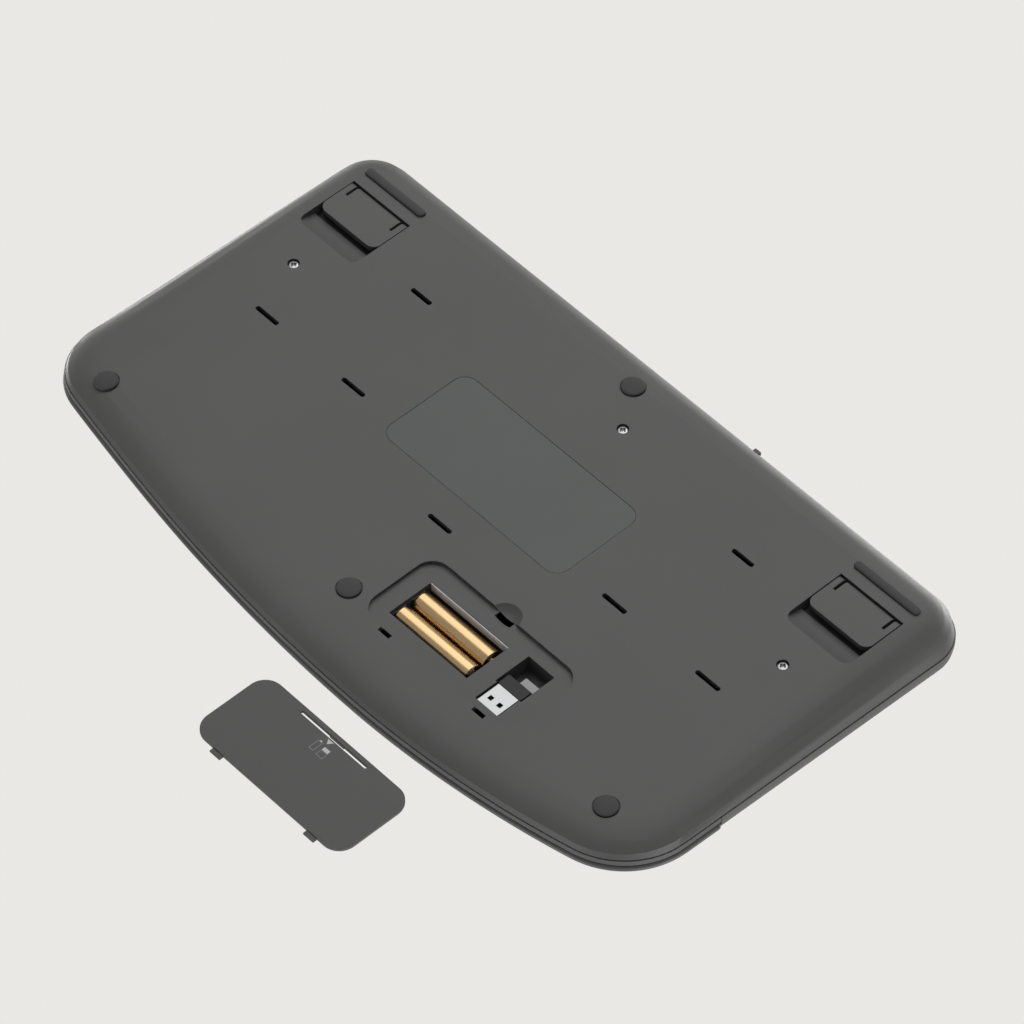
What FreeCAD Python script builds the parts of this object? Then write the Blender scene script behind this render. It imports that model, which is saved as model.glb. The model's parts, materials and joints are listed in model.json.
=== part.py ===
"""Ergonomic keyboard with a cushioned palm rest, shown with its battery cover taken off.

Frame: the keyboard stands on its feet, keys up. +X points to the number pad, +Y to the back
edge, +Z up. The pieces are drawn about the middle of the case, and at the end all are moved so
that the origin is on the desk under the middle of the keyboard and its cover together. All sizes
are in millimetres.
"""
import FreeCAD, Part
import math
import os

V = FreeCAD.Vector

# Case, plan form: the keys at their pitch, and a band of case or palm rest on each side of them
UNIT = 19.05
COLUMNS = 19
ROWS = 6
FUNCTION_ROW_GAP = 4.0
CASE_SIDE = 6.875
CASE_BACK = 20.15
PALM_DEPTH = 80.45
HALF_WIDTH = COLUMNS * UNIT / 2 + CASE_SIDE
HALF_DEPTH = (CASE_BACK + FUNCTION_ROW_GAP + ROWS * UNIT + PALM_DEPTH) / 2
BACK_CORNER_R = 22.0
LEFT_CORNER_R = 37.5
RIGHT_CORNER_R = 30.0
# The front edge is three tangent arcs, the middle one starting at the foremost point
APEX_X = -42.0
FRONT_LEFT_R = 490.0
FRONT_MID_R = 870.0
FRONT_RIGHT_R = 2000.0
FRONT_MID_TURN = math.radians(9.4)

# Case, heights
FOOT_HEIGHT = 1.5
SEAM_HEIGHT = 11.8
SEAM_SLOPE = 0.049
BELLY_CURVE = 17.0
BELLY_RINGS = 5
BELLY_INNER_RINGS = 3
RIM_STEP = 0.5
WALL = 2.0
FLOOR = 2.0
PARTING_GAP = 0.35
LIP_HEIGHT = 3.0
SHOULDER_HEIGHT = 8.0
SHOULDER_REACH = 6.0
SHOULDER_RINGS = 4
SHOULDER_TURN = math.radians(80.0)
SPIGOT_STEP = 0.3
DECK_HEIGHT = 6.6
ROOF = 2.0
WAVE_RISE = 2.3
WAVE_X = -38.1
WAVE_REACH = 78.0
WAVE_STEPS = (-1.0, -0.75, -0.5, -0.25, 0.0, 0.25, 0.5, 0.75, 1.0)
# Cutting tools reach this far past the case
PAST = 5.0

# Keys
KEY_GAP = 1.05
KEYS_LEFT = -COLUMNS * UNIT / 2
KEYS_FRONT = PALM_DEPTH - HALF_DEPTH
CAP_HEIGHT = 7.4
CAP_SKIRT = 4.9
CAP_SIDE_DRAFT = 1.7
CAP_FRONT_DRAFT = 1.5
CAP_WALL = 1.2
CAP_ROOF = 1.8
CAP_DISH_DEPTH = 0.5
CAP_DISH_SLOPE = 4.0
LONG_CAP = 36.0
END_GUIDE = 12.0
STEM = 5.6
STEM_CLEARANCE = 0.2
STEM_FOOT = 0.35
OPENING_CLEARANCE = 0.7
OPENING_CORNER = 2.0

# Layers under the keys, heights above the seam plane
FRAME_LOW = 0.5
FRAME_THICK = 1.5
FRAME_RIM = 1.4
FRAME_RIM_GAP = 0.05
FRAME_BOSS = 4.6
BOSS_CLEARANCE = 0.5
DOME_HEIGHT = 3.0
DOME_R = 4.6
DOME_TOP_R = 2.6
DOME_GAP = 0.02
SHEET_THICK = 0.5
MEMBRANE_THICK = 0.3
PLATE_THICK = 0.6
LAYER_MARGIN = 1.0

# Palm rest
PALM_TO_KEYS = 9.4
PALM_BACK = KEYS_FRONT - PALM_TO_KEYS
PALM_GAP = 0.3
CARRIER_TOP = 8.2
CARRIER_SKIN = 1.4
CARRIER_INSET = 6.0
CARRIER_STEP = 1.6
CARRIER_BACK = 0.8
CUSHION_LOW = 3.4
CUSHION_TUCK = 1.2
CUSHION_WIDEST = 4.9
CUSHION_BULGE = 0.4
CUSHION_RISE = 7.3
CUSHION_REACH = 27.0
CUSHION_BACK_REACH = 11.0
CUSHION_BACK_CORNER = 8.0
CUSHION_RINGS = 4
CUSHION_TURN = math.radians(84.0)

# Battery compartment, which opens downwards; cutting tools start this far below the underside
BELOW = 1.0
SEAT_TO_KEYS = 6.2
SEAT_LENGTH = 41.8
SEAT_DEPTH = 1.8
SEAT_CORNER = 9.0
SEAT_MARGIN = 9.5
SEAT_LEFT_MARGIN = 9.2
SEAT_Y1 = KEYS_FRONT - SEAT_TO_KEYS
SEAT_Y0 = SEAT_Y1 - SEAT_LENGTH
CELL_R = 5.25
CELL_LENGTH = 43.4
CELL_NUB_R = 1.9
CELL_NUB = 0.8
CELL_RISE = 2.7
CELL_BETWEEN = 0.45
CELL_PITCH = 2 * CELL_R + CELL_BETWEEN
CELL_HEADROOM = 0.4
CELL_BACK_GAP = 1.9
CELL_FRONT_GAP = 0.35
CELL_PLUS_GAP = 1.4
CELL_MINUS_GAP = 3.0
WELL_BEHIND = 10.0
WELL_X1 = -20.0
CELL_X1 = WELL_X1 - CELL_PLUS_GAP
WELL_X0 = CELL_X1 - CELL_LENGTH - CELL_MINUS_GAP
WELL_Y1 = SEAT_Y1 - WELL_BEHIND
WELL_Y0 = WELL_Y1 - CELL_BACK_GAP - 2 * CELL_R - CELL_PITCH - CELL_FRONT_GAP
BOX_WALL = 1.2
CONTACT_THICK = 0.4
CONTACT_HALF = 3.6
CONTACT_TIP = 1.3
CONTACT_GAP = 0.04
CONTACT_EDGE = 0.4
CONTACT_LEAST_BOW = 0.05
STRIP_LOW = 2.1
STRIP_HEIGHT = 4.6
STRIP_THICK = 0.4

# Receiver, in a bay beside the cells
PLUG_WIDTH = 12.0
PLUG_THICK = 4.5
PLUG_LENGTH = 12.2
PLUG_DEPTH = 2.6
PLUG_TUCK = 0.3
PLUG_WALL = 0.4
PLUG_ROOT = 3.0
TONGUE_IN = 0.9
TONGUE_BACK = 0.6
TONGUE_LOW = 2.2
TONGUE_ROOT = 2.5
WINDOW_SIDE = 2.2
WINDOW_OUT = 2.7
WINDOW_BACK = 3.6
RECEIVER_WIDTH = 13.6
RECEIVER_LENGTH = 6.6
RECEIVER_THICK = 4.6
RECEIVER_CORNER = 1.2
STOP_GAP = 0.15
STOP_WIDTH = 8.6
STOP_DEPTH = 3.9
STOP_LOW = 3.2
FINGER_ROOM = 7.75
BAY_DEPTH = 11.0
BAY_BEHIND = 7.1
BAY_TO_WELL = 8.9
BAY_PLAY = 2.0
BAY_SIDE_PLAY = 0.9
PLUG_PLAY = 1.6
PLUG_END_PLAY = 0.2
BAY_X1 = WELL_X0 - BAY_TO_WELL
BAY_X0 = BAY_X1 - RECEIVER_WIDTH - BAY_PLAY
BAY_Y1 = SEAT_Y1 - BAY_BEHIND
BAY_Y0 = BAY_Y1 - FINGER_ROOM - STOP_DEPTH - STOP_GAP - RECEIVER_LENGTH - PLUG_TUCK
PLUG_BAY_X1 = BAY_X1 - BAY_SIDE_PLAY
PLUG_BAY_X0 = PLUG_BAY_X1 - PLUG_WIDTH - PLUG_PLAY
PLUG_BAY_Y0 = BAY_Y0 + PLUG_TUCK - PLUG_LENGTH - PLUG_END_PLAY
SEAT_X0, SEAT_X1 = BAY_X0 - SEAT_LEFT_MARGIN, WELL_X1 + SEAT_MARGIN

# Battery cover
COVER_CLEARANCE = 0.2
COVER_THICK = 1.6
COVER_TO_CASE = 19.15
COVER_SHIFT_X = -0.7
COVER_SHIFT_Y = -HALF_DEPTH - COVER_TO_CASE - SEAT_Y1
TAB_IN_RIGHT, TAB_IN_LEFT = 17.4, 16.0
TAB_X = (SEAT_X1 - TAB_IN_RIGHT, SEAT_X0 + TAB_IN_LEFT)
TAB_WIDTH = 6.2
TAB_REACH = 2.2
TAB_THICK = 1.0
TAB_SINK = 0.6
TAB_CLEARANCE = 0.3
SLOT_LENGTH = 40.0
SLOT_WIDTH = 1.4
SLOT_BACK = 2.3
LATCH_OFF_MIDDLE = 0.4
LATCH_X = (SEAT_X0 + SEAT_X1) / 2 + LATCH_OFF_MIDDLE
LATCH_WIDTH = 8.6
LATCH_HOLE = 2.8
LATCH_CATCH = 0.4
HOOK_THICK = 1.6
HOOK_BARB = 0.35
HOOK_HEIGHT = 2.4
HOOK_LOW = 0.9
HOOK_WIDEST = 1.4
HOOK_TIP = 0.4
JOIN = 0.2
TAB_ROOT = 1.5
TAB_SLOT_IN = 0.6
RIB = 0.8
RIB_IN = 12.0
SCOOP_R = 11.0
SCOOP_DEPTH = 2.8
SCOOP_IN = 1.0

# Tilt legs
LEG_FROM_SIDE = 16.85
LEG_FROM_BACK = 30.45
LEG_WIDTH = 36.8
LEG_REACH = 18.4
LEG_BEHIND = 2.9
LEG_X1 = HALF_WIDTH - LEG_FROM_SIDE
LEG_X0 = LEG_X1 - LEG_WIDTH
LEG_PIVOT_Y = HALF_DEPTH - LEG_FROM_BACK
LEG_FRONT = LEG_PIVOT_Y - LEG_REACH
LEG_Y1 = LEG_PIVOT_Y + LEG_BEHIND
LEG_SIDE_GAP = 0.45
LEG_THICK = 3.0
LEG_CORNER = 4.5
LEG_BARREL_R = 2.7
LEG_PIN_R = 1.2
LEG_PIN_CLEARANCE = 0.08
LEG_PIN_LENGTH = 1.4
LEG_PIN_WALL = 0.8
LEG_SLOT_IN = 3.6
LEG_SLOT_WIDTH = 1.3
LEG_SLOT_LENGTH = 8.0
POCKET_DEPTH = 6.6
RAMP_GAP = 1.9
RAMP_LENGTH = 10.4
RAMP_BACK = LEG_FRONT - RAMP_GAP
LEG_Y0 = RAMP_BACK - RAMP_LENGTH
RAMP_DEPTH = 4.0
RAMP_BELLY = 0.72

# Feet, screws, slots, label
FOOT_R = 5.6
FOOT_SINK = 0.8
FOOT_CHAMFER = 0.45
FOOT_GROOVE = 0.25
FOOT_FROM_SIDE = 31.45
FOOT_FROM_FRONT = 36.25
MIDDLE_FOOT_FROM_FRONT = 36.05
FOOT_FROM_BACK = 20.25
FEET = (
    (FOOT_FROM_SIDE - HALF_WIDTH, FOOT_FROM_FRONT - HALF_DEPTH),
    (HALF_WIDTH - FOOT_FROM_SIDE, FOOT_FROM_FRONT - HALF_DEPTH),
    (0.0, MIDDLE_FOOT_FROM_FRONT - HALF_DEPTH), (0.0, HALF_DEPTH - FOOT_FROM_BACK),
)
STRIP_IN, STRIP_OUT = 0.2, 0.7
STRIP_FROM_BACK = 19.25
STRIP_X0, STRIP_X1 = LEG_X0 + STRIP_IN, LEG_X1 + STRIP_OUT
STRIP_Y = HALF_DEPTH - STRIP_FROM_BACK
STRIP_WIDTH = 4.4
# The screws stand between the rows of plungers
SCREW_FROM_SIDE = 35.35
SCREW_PAST_ROW = 2.05
SCREW_PAST_NUMBERS = 3.55
SIDE_SCREW_Y = KEYS_FRONT + 3 * UNIT + SCREW_PAST_ROW
BACK_SCREW_Y = KEYS_FRONT + 5 * UNIT + SCREW_PAST_NUMBERS
SCREWS = (
    (SCREW_FROM_SIDE - HALF_WIDTH, SIDE_SCREW_Y), (HALF_WIDTH - SCREW_FROM_SIDE, SIDE_SCREW_Y),
    (-14.1, BACK_SCREW_Y),
)
SCREW_HEAD_R = 2.3
SCREW_HEAD = 1.3
SCREW_SINK = 0.5
SCREW_SHANK_R = 1.1
SHANK_SIDES = 6
SCREW_PLAY = 0.2
SCREW_BITE = 0.05
SCREW_GRIP = -0.3
SCREW_SOCKET = 1.3
SCREW_DRIVE = 0.8
COUNTERBORE_R = 2.75
POST = 6.4
DRAIN_WIDTH = 2.4
SLOT_CORNER = 0.29
LONG_DRAIN = 14.0
SHORT_DRAIN = 12.4
DRAINS = (
    (-137.5, 1.8, LONG_DRAIN), (137.5, 1.8, LONG_DRAIN), (-81.5, 1.7, LONG_DRAIN), (81.5, 1.7, LONG_DRAIN),
    (-100.2, 57.7, SHORT_DRAIN), (100.2, 57.7, SHORT_DRAIN), (0.0, -22.3, LONG_DRAIN),
)
LABEL_HALF_X = 55.2
LABEL_BEHIND_SEAT = 28.3
LABEL_LENGTH = 49.7
LABEL_Y0 = SEAT_Y1 + LABEL_BEHIND_SEAT
LABEL_Y1 = LABEL_Y0 + LABEL_LENGTH
LABEL_CORNER = 7.0
LABEL_DEPTH = 0.4
LABEL_GAP = 0.15
LABEL_SINK = 0.05

# Electronics
SWITCH_X = -55.5
BOARD_LEFT, BOARD_RIGHT = 62.5, 33.5
BOARD_LENGTH = 37.5
BOARD_FROM_BACK = 7.95
BOARD_X0, BOARD_X1 = SWITCH_X - BOARD_LEFT, SWITCH_X + BOARD_RIGHT
BOARD_Y1 = HALF_DEPTH - BOARD_FROM_BACK
BOARD_Y0 = BOARD_Y1 - BOARD_LENGTH
BOARD_HEIGHT = 8.2
BOARD_THICK = 1.2
BOARD_POST_IN = 7.0
BOARD_POST = 5.0
SWITCH_Z = 11.0
SWITCH_TRAVEL = 3.0
NUB_WIDTH = 3.4
NUB_HEIGHT = 2.2
NUB_PROUD = 1.1
NUB_CLEARANCE = 0.3
NUB_DEPTH = 2.6
STALK = 1.4
STALK_SINK = 1.5
STALK_PLAY = 0.1
STALK_TUCK = 1.0
SWITCH_BODY = (10.0, 4.2, 3.0)
SHIELD_IN_X, SHIELD_IN_Y = 14.0, 10.0
SHIELD_WIDTH, SHIELD_LENGTH = 18.0, 14.0
SHIELD_HEIGHT = 1.4

NODES = {}


def seam(y):
    """Height of the parting plane above the desk at depth y."""
    return SEAM_HEIGHT + SEAM_SLOPE * y


def wave(x):
    """Rise of the deck over its plane: a raised cosine centred between the two hands."""
    reach = abs(x - WAVE_X) / WAVE_REACH
    if reach >= 1.0:
        return 0.0
    return WAVE_RISE * math.cos(reach * math.pi / 2.0) ** 2


def arc(centre, radius, u0, u1):
    """Arc round centre from direction u0 to direction u1, both unit vectors in plan."""
    middle = (u0 + u1).normalize()
    return Part.Arc(centre + u0 * radius, centre + middle * radius, centre + u1 * radius).toShape()


def front_centres():
    """Centres and joint directions of the front edge's arcs and of the two front corners."""
    left_arc = V(APEX_X, -HALF_DEPTH + FRONT_LEFT_R, 0)
    mid_arc = V(APEX_X, -HALF_DEPTH + FRONT_MID_R, 0)
    turn = V(math.sin(FRONT_MID_TURN), -math.cos(FRONT_MID_TURN), 0)
    right_arc = mid_arc + turn * (FRONT_MID_R - FRONT_RIGHT_R)
    left_x = LEFT_CORNER_R - HALF_WIDTH
    run = FRONT_LEFT_R - LEFT_CORNER_R
    left_corner = V(left_x, left_arc.y - math.sqrt(run ** 2 - (left_x - left_arc.x) ** 2), 0)
    right_x = HALF_WIDTH - RIGHT_CORNER_R
    run = FRONT_RIGHT_R - RIGHT_CORNER_R
    right_corner = V(right_x, right_arc.y - math.sqrt(run ** 2 - (right_x - right_arc.x) ** 2), 0)
    left_turn = (left_corner - left_arc).normalize()
    right_turn = (right_corner - right_arc).normalize()
    return left_corner, left_turn, left_arc, mid_arc, turn, right_arc, right_turn, right_corner


def outline(inset=0.0, back=HALF_DEPTH, back_inset=None, back_r=BACK_CORNER_R):
    """Closed plan wire of the case, moved inwards by inset. Arcs keep their centres."""
    if back_inset is None:
        back_inset = inset
    left_corner, left_turn, left_arc, mid_arc, turn, right_arc, right_turn, right_corner = front_centres()
    west, east, north, south = V(-1, 0, 0), V(1, 0, 0), V(0, 1, 0), V(0, -1, 0)
    r = max(back_r - inset, 0.4)
    side = HALF_WIDTH - inset
    top = back - back_inset
    back_left = V(r - side, top - r, 0)
    back_right = V(side - r, top - r, 0)
    edges = [
        arc(back_left, r, north, west),
        Part.LineSegment(back_left + west * r, left_corner + west * (LEFT_CORNER_R - inset)).toShape(),
        arc(left_corner, LEFT_CORNER_R - inset, west, left_turn),
        arc(left_arc, FRONT_LEFT_R - inset, left_turn, south),
        arc(mid_arc, FRONT_MID_R - inset, south, turn),
        arc(right_arc, FRONT_RIGHT_R - inset, turn, right_turn),
        arc(right_corner, RIGHT_CORNER_R - inset, right_turn, east),
        Part.LineSegment(right_corner + east * (RIGHT_CORNER_R - inset), back_right + east * r).toShape(),
        arc(back_right, r, east, north),
        Part.LineSegment(back_right + north * r, back_left + north * r).toShape(),
    ]
    return Part.Wire(edges)


def lean(shape, slope, lift):
    """Move every point up by lift plus slope times its y, so that a level wire follows the seam."""
    m = FreeCAD.Matrix()
    m.A32 = slope
    m.A34 = lift
    return shape.transformGeometry(m)


def at_seam(wire, height):
    """Put a level wire at a height over the seam plane."""
    return lean(wire, SEAM_SLOPE, SEAM_HEIGHT + height)


def slab(low, high, inset):
    """Solid between two heights over the seam plane, with the case outline moved inwards."""
    return Part.makeLoft([at_seam(outline(inset), low), at_seam(outline(inset), high)], True, True)


def flat_sided(low, high):
    """Solid between two polygons with as many corners each, whose matching sides are parallel."""
    faces = [Part.Face(Part.makePolygon(low + low[:1])), Part.Face(Part.makePolygon(high + high[:1]))]
    for i in range(len(low)):
        j = (i + 1) % len(low)
        faces.append(Part.Face(Part.makePolygon([low[i], low[j], high[j], high[i], low[i]])))
    shell = Part.makeShell(faces)
    shell.sewShape()
    solid = Part.makeSolid(shell)
    if solid.Volume < 0:
        solid.reverse()
    return solid


def rounded_box(x0, y0, z0, x1, y1, z1, r):
    """Upright box with rounded vertical edges."""
    west, east, north, south = V(-1, 0, 0), V(1, 0, 0), V(0, 1, 0), V(0, -1, 0)
    a, b = V(x0 + r, y0 + r, z0), V(x1 - r, y0 + r, z0)
    c, d = V(x1 - r, y1 - r, z0), V(x0 + r, y1 - r, z0)
    edges = [
        arc(a, r, west, south), Part.LineSegment(a + south * r, b + south * r).toShape(),
        arc(b, r, south, east), Part.LineSegment(b + east * r, c + east * r).toShape(),
        arc(c, r, east, north), Part.LineSegment(c + north * r, d + north * r).toShape(),
        arc(d, r, north, west), Part.LineSegment(d + west * r, a + west * r).toShape(),
    ]
    return Part.Face(Part.Wire(edges)).extrude(V(0, 0, z1 - z0))


def box(x0, y0, z0, x1, y1, z1):
    """Plain box between two corners."""
    return Part.makeBox(x1 - x0, y1 - y0, z1 - z0, V(x0, y0, z0))


def upright(x, y, z0, z1, side):
    """Square post round a point in plan."""
    return box(x - side / 2, y - side / 2, z0, x + side / 2, y + side / 2, z1)


def rod(x, y, z, r, length, axis=V(0, 0, 1)):
    """Cylinder from a point along an axis."""
    return Part.makeCylinder(r, length, V(x, y, z), axis)


def shank(x, y, z, r, length):
    """Upright screw shank, or its hole, with a few flat sides because it is small and hidden."""
    step = 2.0 * math.pi / SHANK_SIDES
    corners = [V(x + r * math.cos(i * step), y + r * math.sin(i * step), z) for i in range(SHANK_SIDES)]
    return Part.Face(Part.makePolygon(corners + corners[:1])).extrude(V(0, 0, length))


def round_slot(x, y, z, length, r, depth):
    """Slot with round ends, its long side along X, open upwards from z."""
    half = length / 2.0
    return rounded_box(x - half, y - r, z, x + half, y + r, z + depth, r * 0.999)


def narrow_slot(x, y, z, length, width, depth):
    """Narrow slot with its long side along X and its corners cut off, open upwards from z."""
    half, side, c = length / 2.0, width / 2.0, SLOT_CORNER * width
    plan = [(half, side - c), (half - c, side), (c - half, side), (-half, side - c),
            (-half, c - side), (c - half, -side), (half - c, -side), (half, c - side)]
    corners = [V(x + dx, y + dy, z) for dx, dy in plan]
    return Part.Face(Part.makePolygon(corners + corners[:1])).extrude(V(0, 0, depth))


def profile_x(points, x0, x1):
    """Solid with a YZ profile, closed by its first point, running from x0 to x1."""
    corners = [V(x0, y, z) for y, z in points]
    return Part.Face(Part.makePolygon(corners + corners[:1])).extrude(V(x1 - x0, 0, 0))


def mirrored(shape):
    """Copy of a shape on the other side of the keyboard."""
    return shape.mirror(V(0, 0, 0), V(1, 0, 0))


def on_deck(shape):
    """Move a shape drawn on the seam plane, with w as its height over it, to its place."""
    tilt = math.degrees(math.atan(SEAM_SLOPE))
    out = shape.copy()
    turned = FreeCAD.Placement(V(0, 0, SEAM_HEIGHT), FreeCAD.Rotation(V(1, 0, 0), tilt))
    out.Placement = turned.multiply(out.Placement)
    return out


# Key layout: name, keys as (units from the left, width, row, depth in units)
ROW_NUMBER, ROW_TOP, ROW_HOME, ROW_BOTTOM, ROW_SPACE = 4, 3, 2, 1, 0
ROW_FUNCTION = 5
PAD = 15.0


def run_of_keys(start, count, row, width=1.0):
    """Equal keys side by side, from a start in units."""
    return [(start + i * width, width, row, 1.0) for i in range(count)]


KEY_GROUPS = {
    "key_escape": run_of_keys(0, 1, ROW_FUNCTION),
    "keys_function_left": run_of_keys(1, 6, ROW_FUNCTION),
    "keys_function_right": run_of_keys(7, 8, ROW_FUNCTION),
    "keys_navigation": run_of_keys(PAD, 4, ROW_FUNCTION),
    "keys_number_left": run_of_keys(0, 6, ROW_NUMBER),
    "keys_number_right": run_of_keys(6, 7, ROW_NUMBER),
    "key_backspace": run_of_keys(13, 1, ROW_NUMBER, 2.0),
    "key_tab": run_of_keys(0, 1, ROW_TOP, 1.5),
    "keys_top_left": run_of_keys(1.5, 5, ROW_TOP),
    "keys_top_right": run_of_keys(6.5, 7, ROW_TOP),
    "key_backslash": run_of_keys(13.5, 1, ROW_TOP, 1.5),
    "key_caps_lock": run_of_keys(0, 1, ROW_HOME, 1.75),
    "keys_home_left": run_of_keys(1.75, 5, ROW_HOME),
    "keys_home_right": run_of_keys(6.75, 6, ROW_HOME),
    "key_enter": run_of_keys(12.75, 1, ROW_HOME, 2.25),
    "key_shift_left": run_of_keys(0, 1, ROW_BOTTOM, 2.25),
    "keys_bottom_left": run_of_keys(2.25, 5, ROW_BOTTOM),
    "keys_bottom_right": run_of_keys(7.25, 5, ROW_BOTTOM),
    "key_shift_right": run_of_keys(12.25, 1, ROW_BOTTOM, 1.75),
    "key_up": run_of_keys(14, 1, ROW_BOTTOM),
    "keys_modifier_left": run_of_keys(0, 4, ROW_SPACE, 1.125),
    "key_space": run_of_keys(4.5, 1, ROW_SPACE, 5.25),
    "keys_modifier_right": run_of_keys(9.75, 3, ROW_SPACE, 1.083),
    "key_left": run_of_keys(13, 1, ROW_SPACE),
    "key_down": run_of_keys(14, 1, ROW_SPACE),
    "key_right": run_of_keys(PAD, 1, ROW_SPACE),
    "keys_pad_operators": run_of_keys(PAD, 4, ROW_NUMBER),
    "keys_pad_top": run_of_keys(PAD, 3, ROW_TOP),
    "keys_pad_middle": run_of_keys(PAD, 3, ROW_HOME),
    "keys_pad_bottom": run_of_keys(PAD, 3, ROW_BOTTOM),
    "keys_pad_zero": run_of_keys(PAD + 1, 2, ROW_SPACE),
    "key_pad_plus": [(PAD + 3, 1.0, ROW_HOME, 2.0)],
    "key_pad_enter": [(PAD + 3, 1.0, ROW_SPACE, 2.0)],
}


def key_centre(key):
    """Centre of a key on the deck, and its outer size with the gap taken off."""
    start, width, row, depth = key
    x = KEYS_LEFT + (start + width / 2.0) * UNIT
    y = KEYS_FRONT + (row + depth / 2.0) * UNIT
    if row == ROW_FUNCTION:
        y += FUNCTION_ROW_GAP
    return x, y, width * UNIT - KEY_GAP, depth * UNIT - KEY_GAP


def rectangle(x, y, w, half_x, half_y):
    """Corners of a rectangle, level at height w."""
    return [V(x + half_x, y - half_y, w), V(x + half_x, y + half_y, w), V(x - half_x, y + half_y, w),
            V(x - half_x, y - half_y, w)]


def stem_spots(width):
    """Plunger places along a cap: a long cap is guided at both ends too."""
    if width < LONG_CAP:
        return (0.0,)
    reach = width / 2.0 - END_GUIDE
    return (-reach, 0.0, reach)


def keycap(key):
    """Hollow cap with drafted sides, a dished top and its square plungers."""
    x, y, width, depth = key_centre(key)
    low = CAP_SKIRT + wave(x)
    high = low + CAP_HEIGHT
    half_x, half_y = width / 2.0, depth / 2.0
    top_x, top_y = half_x - CAP_SIDE_DRAFT, half_y - CAP_FRONT_DRAFT
    outer = flat_sided(rectangle(x, y, low, half_x, half_y), rectangle(x, y, high, top_x, top_y))
    ceiling = high - CAP_ROOF
    inner = flat_sided(rectangle(x, y, low, half_x - CAP_WALL, half_y - CAP_WALL),
                       rectangle(x, y, ceiling, top_x - CAP_WALL, top_y - CAP_WALL))
    shell = outer.cut(inner)
    if width < LONG_CAP:
        floor = high - CAP_DISH_DEPTH
        rim = top_x - CAP_DISH_SLOPE
        dish = [(-top_x, high), (-rim, floor), (rim, floor), (top_x, high)]
        start = y - depth
        corners = [V(x + px, start, pz) for px, pz in dish]
        shell = shell.cut(Part.Face(Part.makePolygon(corners + corners[:1])).extrude(V(0, 2 * depth, 0)))
    foot = STEM_FOOT
    half = STEM / 2.0
    stems = [box(x + shift - half, y - half, foot, x + shift + half, y + half, ceiling)
             for shift in stem_spots(width)]
    return shell.fuse(stems).removeSplitter()


def keycaps():
    """One node for each large or single key, and one for each run of small keys."""
    for name, keys in KEY_GROUPS.items():
        NODES[name] = on_deck(Part.makeCompound([keycap(key) for key in keys]))


def key_area():
    """Plan limits of all the keys on the deck."""
    x1 = KEYS_LEFT + COLUMNS * UNIT
    y1 = KEYS_FRONT + ROWS * UNIT + FUNCTION_ROW_GAP
    return KEYS_LEFT, KEYS_FRONT, x1, y1


def all_keys():
    """Every key of the layout."""
    return [key for keys in KEY_GROUPS.values() for key in keys]


def screw_spots_on_deck():
    """Screw places in the deck's own plan, which leans back with the seam."""
    stretch = math.sqrt(1.0 + SEAM_SLOPE ** 2)
    return [(x, y * stretch) for x, y in SCREWS]


def key_frame():
    """Plate that guides the plungers, with a rim up to the deck and screw bosses below."""
    x0, y0, x1, y1 = key_area()
    low = FRAME_LOW
    gap = OPENING_CLEARANCE
    out = gap + FRAME_RIM
    frame = box(x0 - out, y0 - out, low, x1 + out, y1 + out, DECK_HEIGHT - ROOF - FRAME_RIM_GAP)
    frame = frame.cut(box(x0 - gap, y0 - gap, low + FRAME_THICK, x1 + gap, y1 + gap, DECK_HEIGHT))
    bosses = [upright(x, y, plate_top(), low + FRAME_THICK, FRAME_BOSS) for x, y in screw_spots_on_deck()]
    frame = frame.fuse(bosses)
    half = STEM / 2.0 + STEM_CLEARANCE
    holes = []
    for key in all_keys():
        x, y, width, depth = key_centre(key)
        for shift in stem_spots(width):
            holes.append(box(x + shift - half, y - half, low - 1, x + shift + half, y + half, DECK_HEIGHT))
    for x, y in screw_spots_on_deck():
        holes.append(shank(x, y, plate_top() - 1, SCREW_SHANK_R + SCREW_BITE, SCREW_GRIP - plate_top() + 1))
    NODES["key_frame"] = on_deck(frame.cut(Part.makeCompound(holes)))


def dome_sheet_low():
    """Underside of the dome sheet over the seam plane."""
    return STEM_FOOT - DOME_HEIGHT - SHEET_THICK


def plate_top():
    """Top of the steel plate over the seam plane."""
    return dome_sheet_low() - MEMBRANE_THICK


def layer(low, thick, hole):
    """Thin sheet under the whole key area, with square holes for the screw bosses."""
    x0, y0, x1, y1 = key_area()
    m = LAYER_MARGIN
    holes = [upright(x, y, low - 1, low + thick + 1, hole) for x, y in screw_spots_on_deck()]
    return box(x0 + m, y0 + m, low, x1 - m, y1 - m, low + thick).cut(holes)


def layers_under_keys():
    """Rubber dome sheet, printed membrane and steel plate, lying on each other."""
    low = dome_sheet_low()
    domes = []
    for key in all_keys():
        x, y, width, depth = key_centre(key)
        domes.append(flat_sided(rectangle(x, y, low + SHEET_THICK, DOME_R, DOME_R),
                                rectangle(x, y, STEM_FOOT - DOME_GAP, DOME_TOP_R, DOME_TOP_R)))
    around_boss = FRAME_BOSS + 2 * BOSS_CLEARANCE
    around_screw = 2 * SCREW_SHANK_R + BOSS_CLEARANCE
    NODES["dome_sheet"] = on_deck(layer(low, SHEET_THICK, around_boss).fuse(domes))
    NODES["membrane"] = on_deck(layer(low - MEMBRANE_THICK, MEMBRANE_THICK, around_boss))
    NODES["support_plate"] = on_deck(layer(plate_top() - PLATE_THICK, PLATE_THICK, around_screw))


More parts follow.
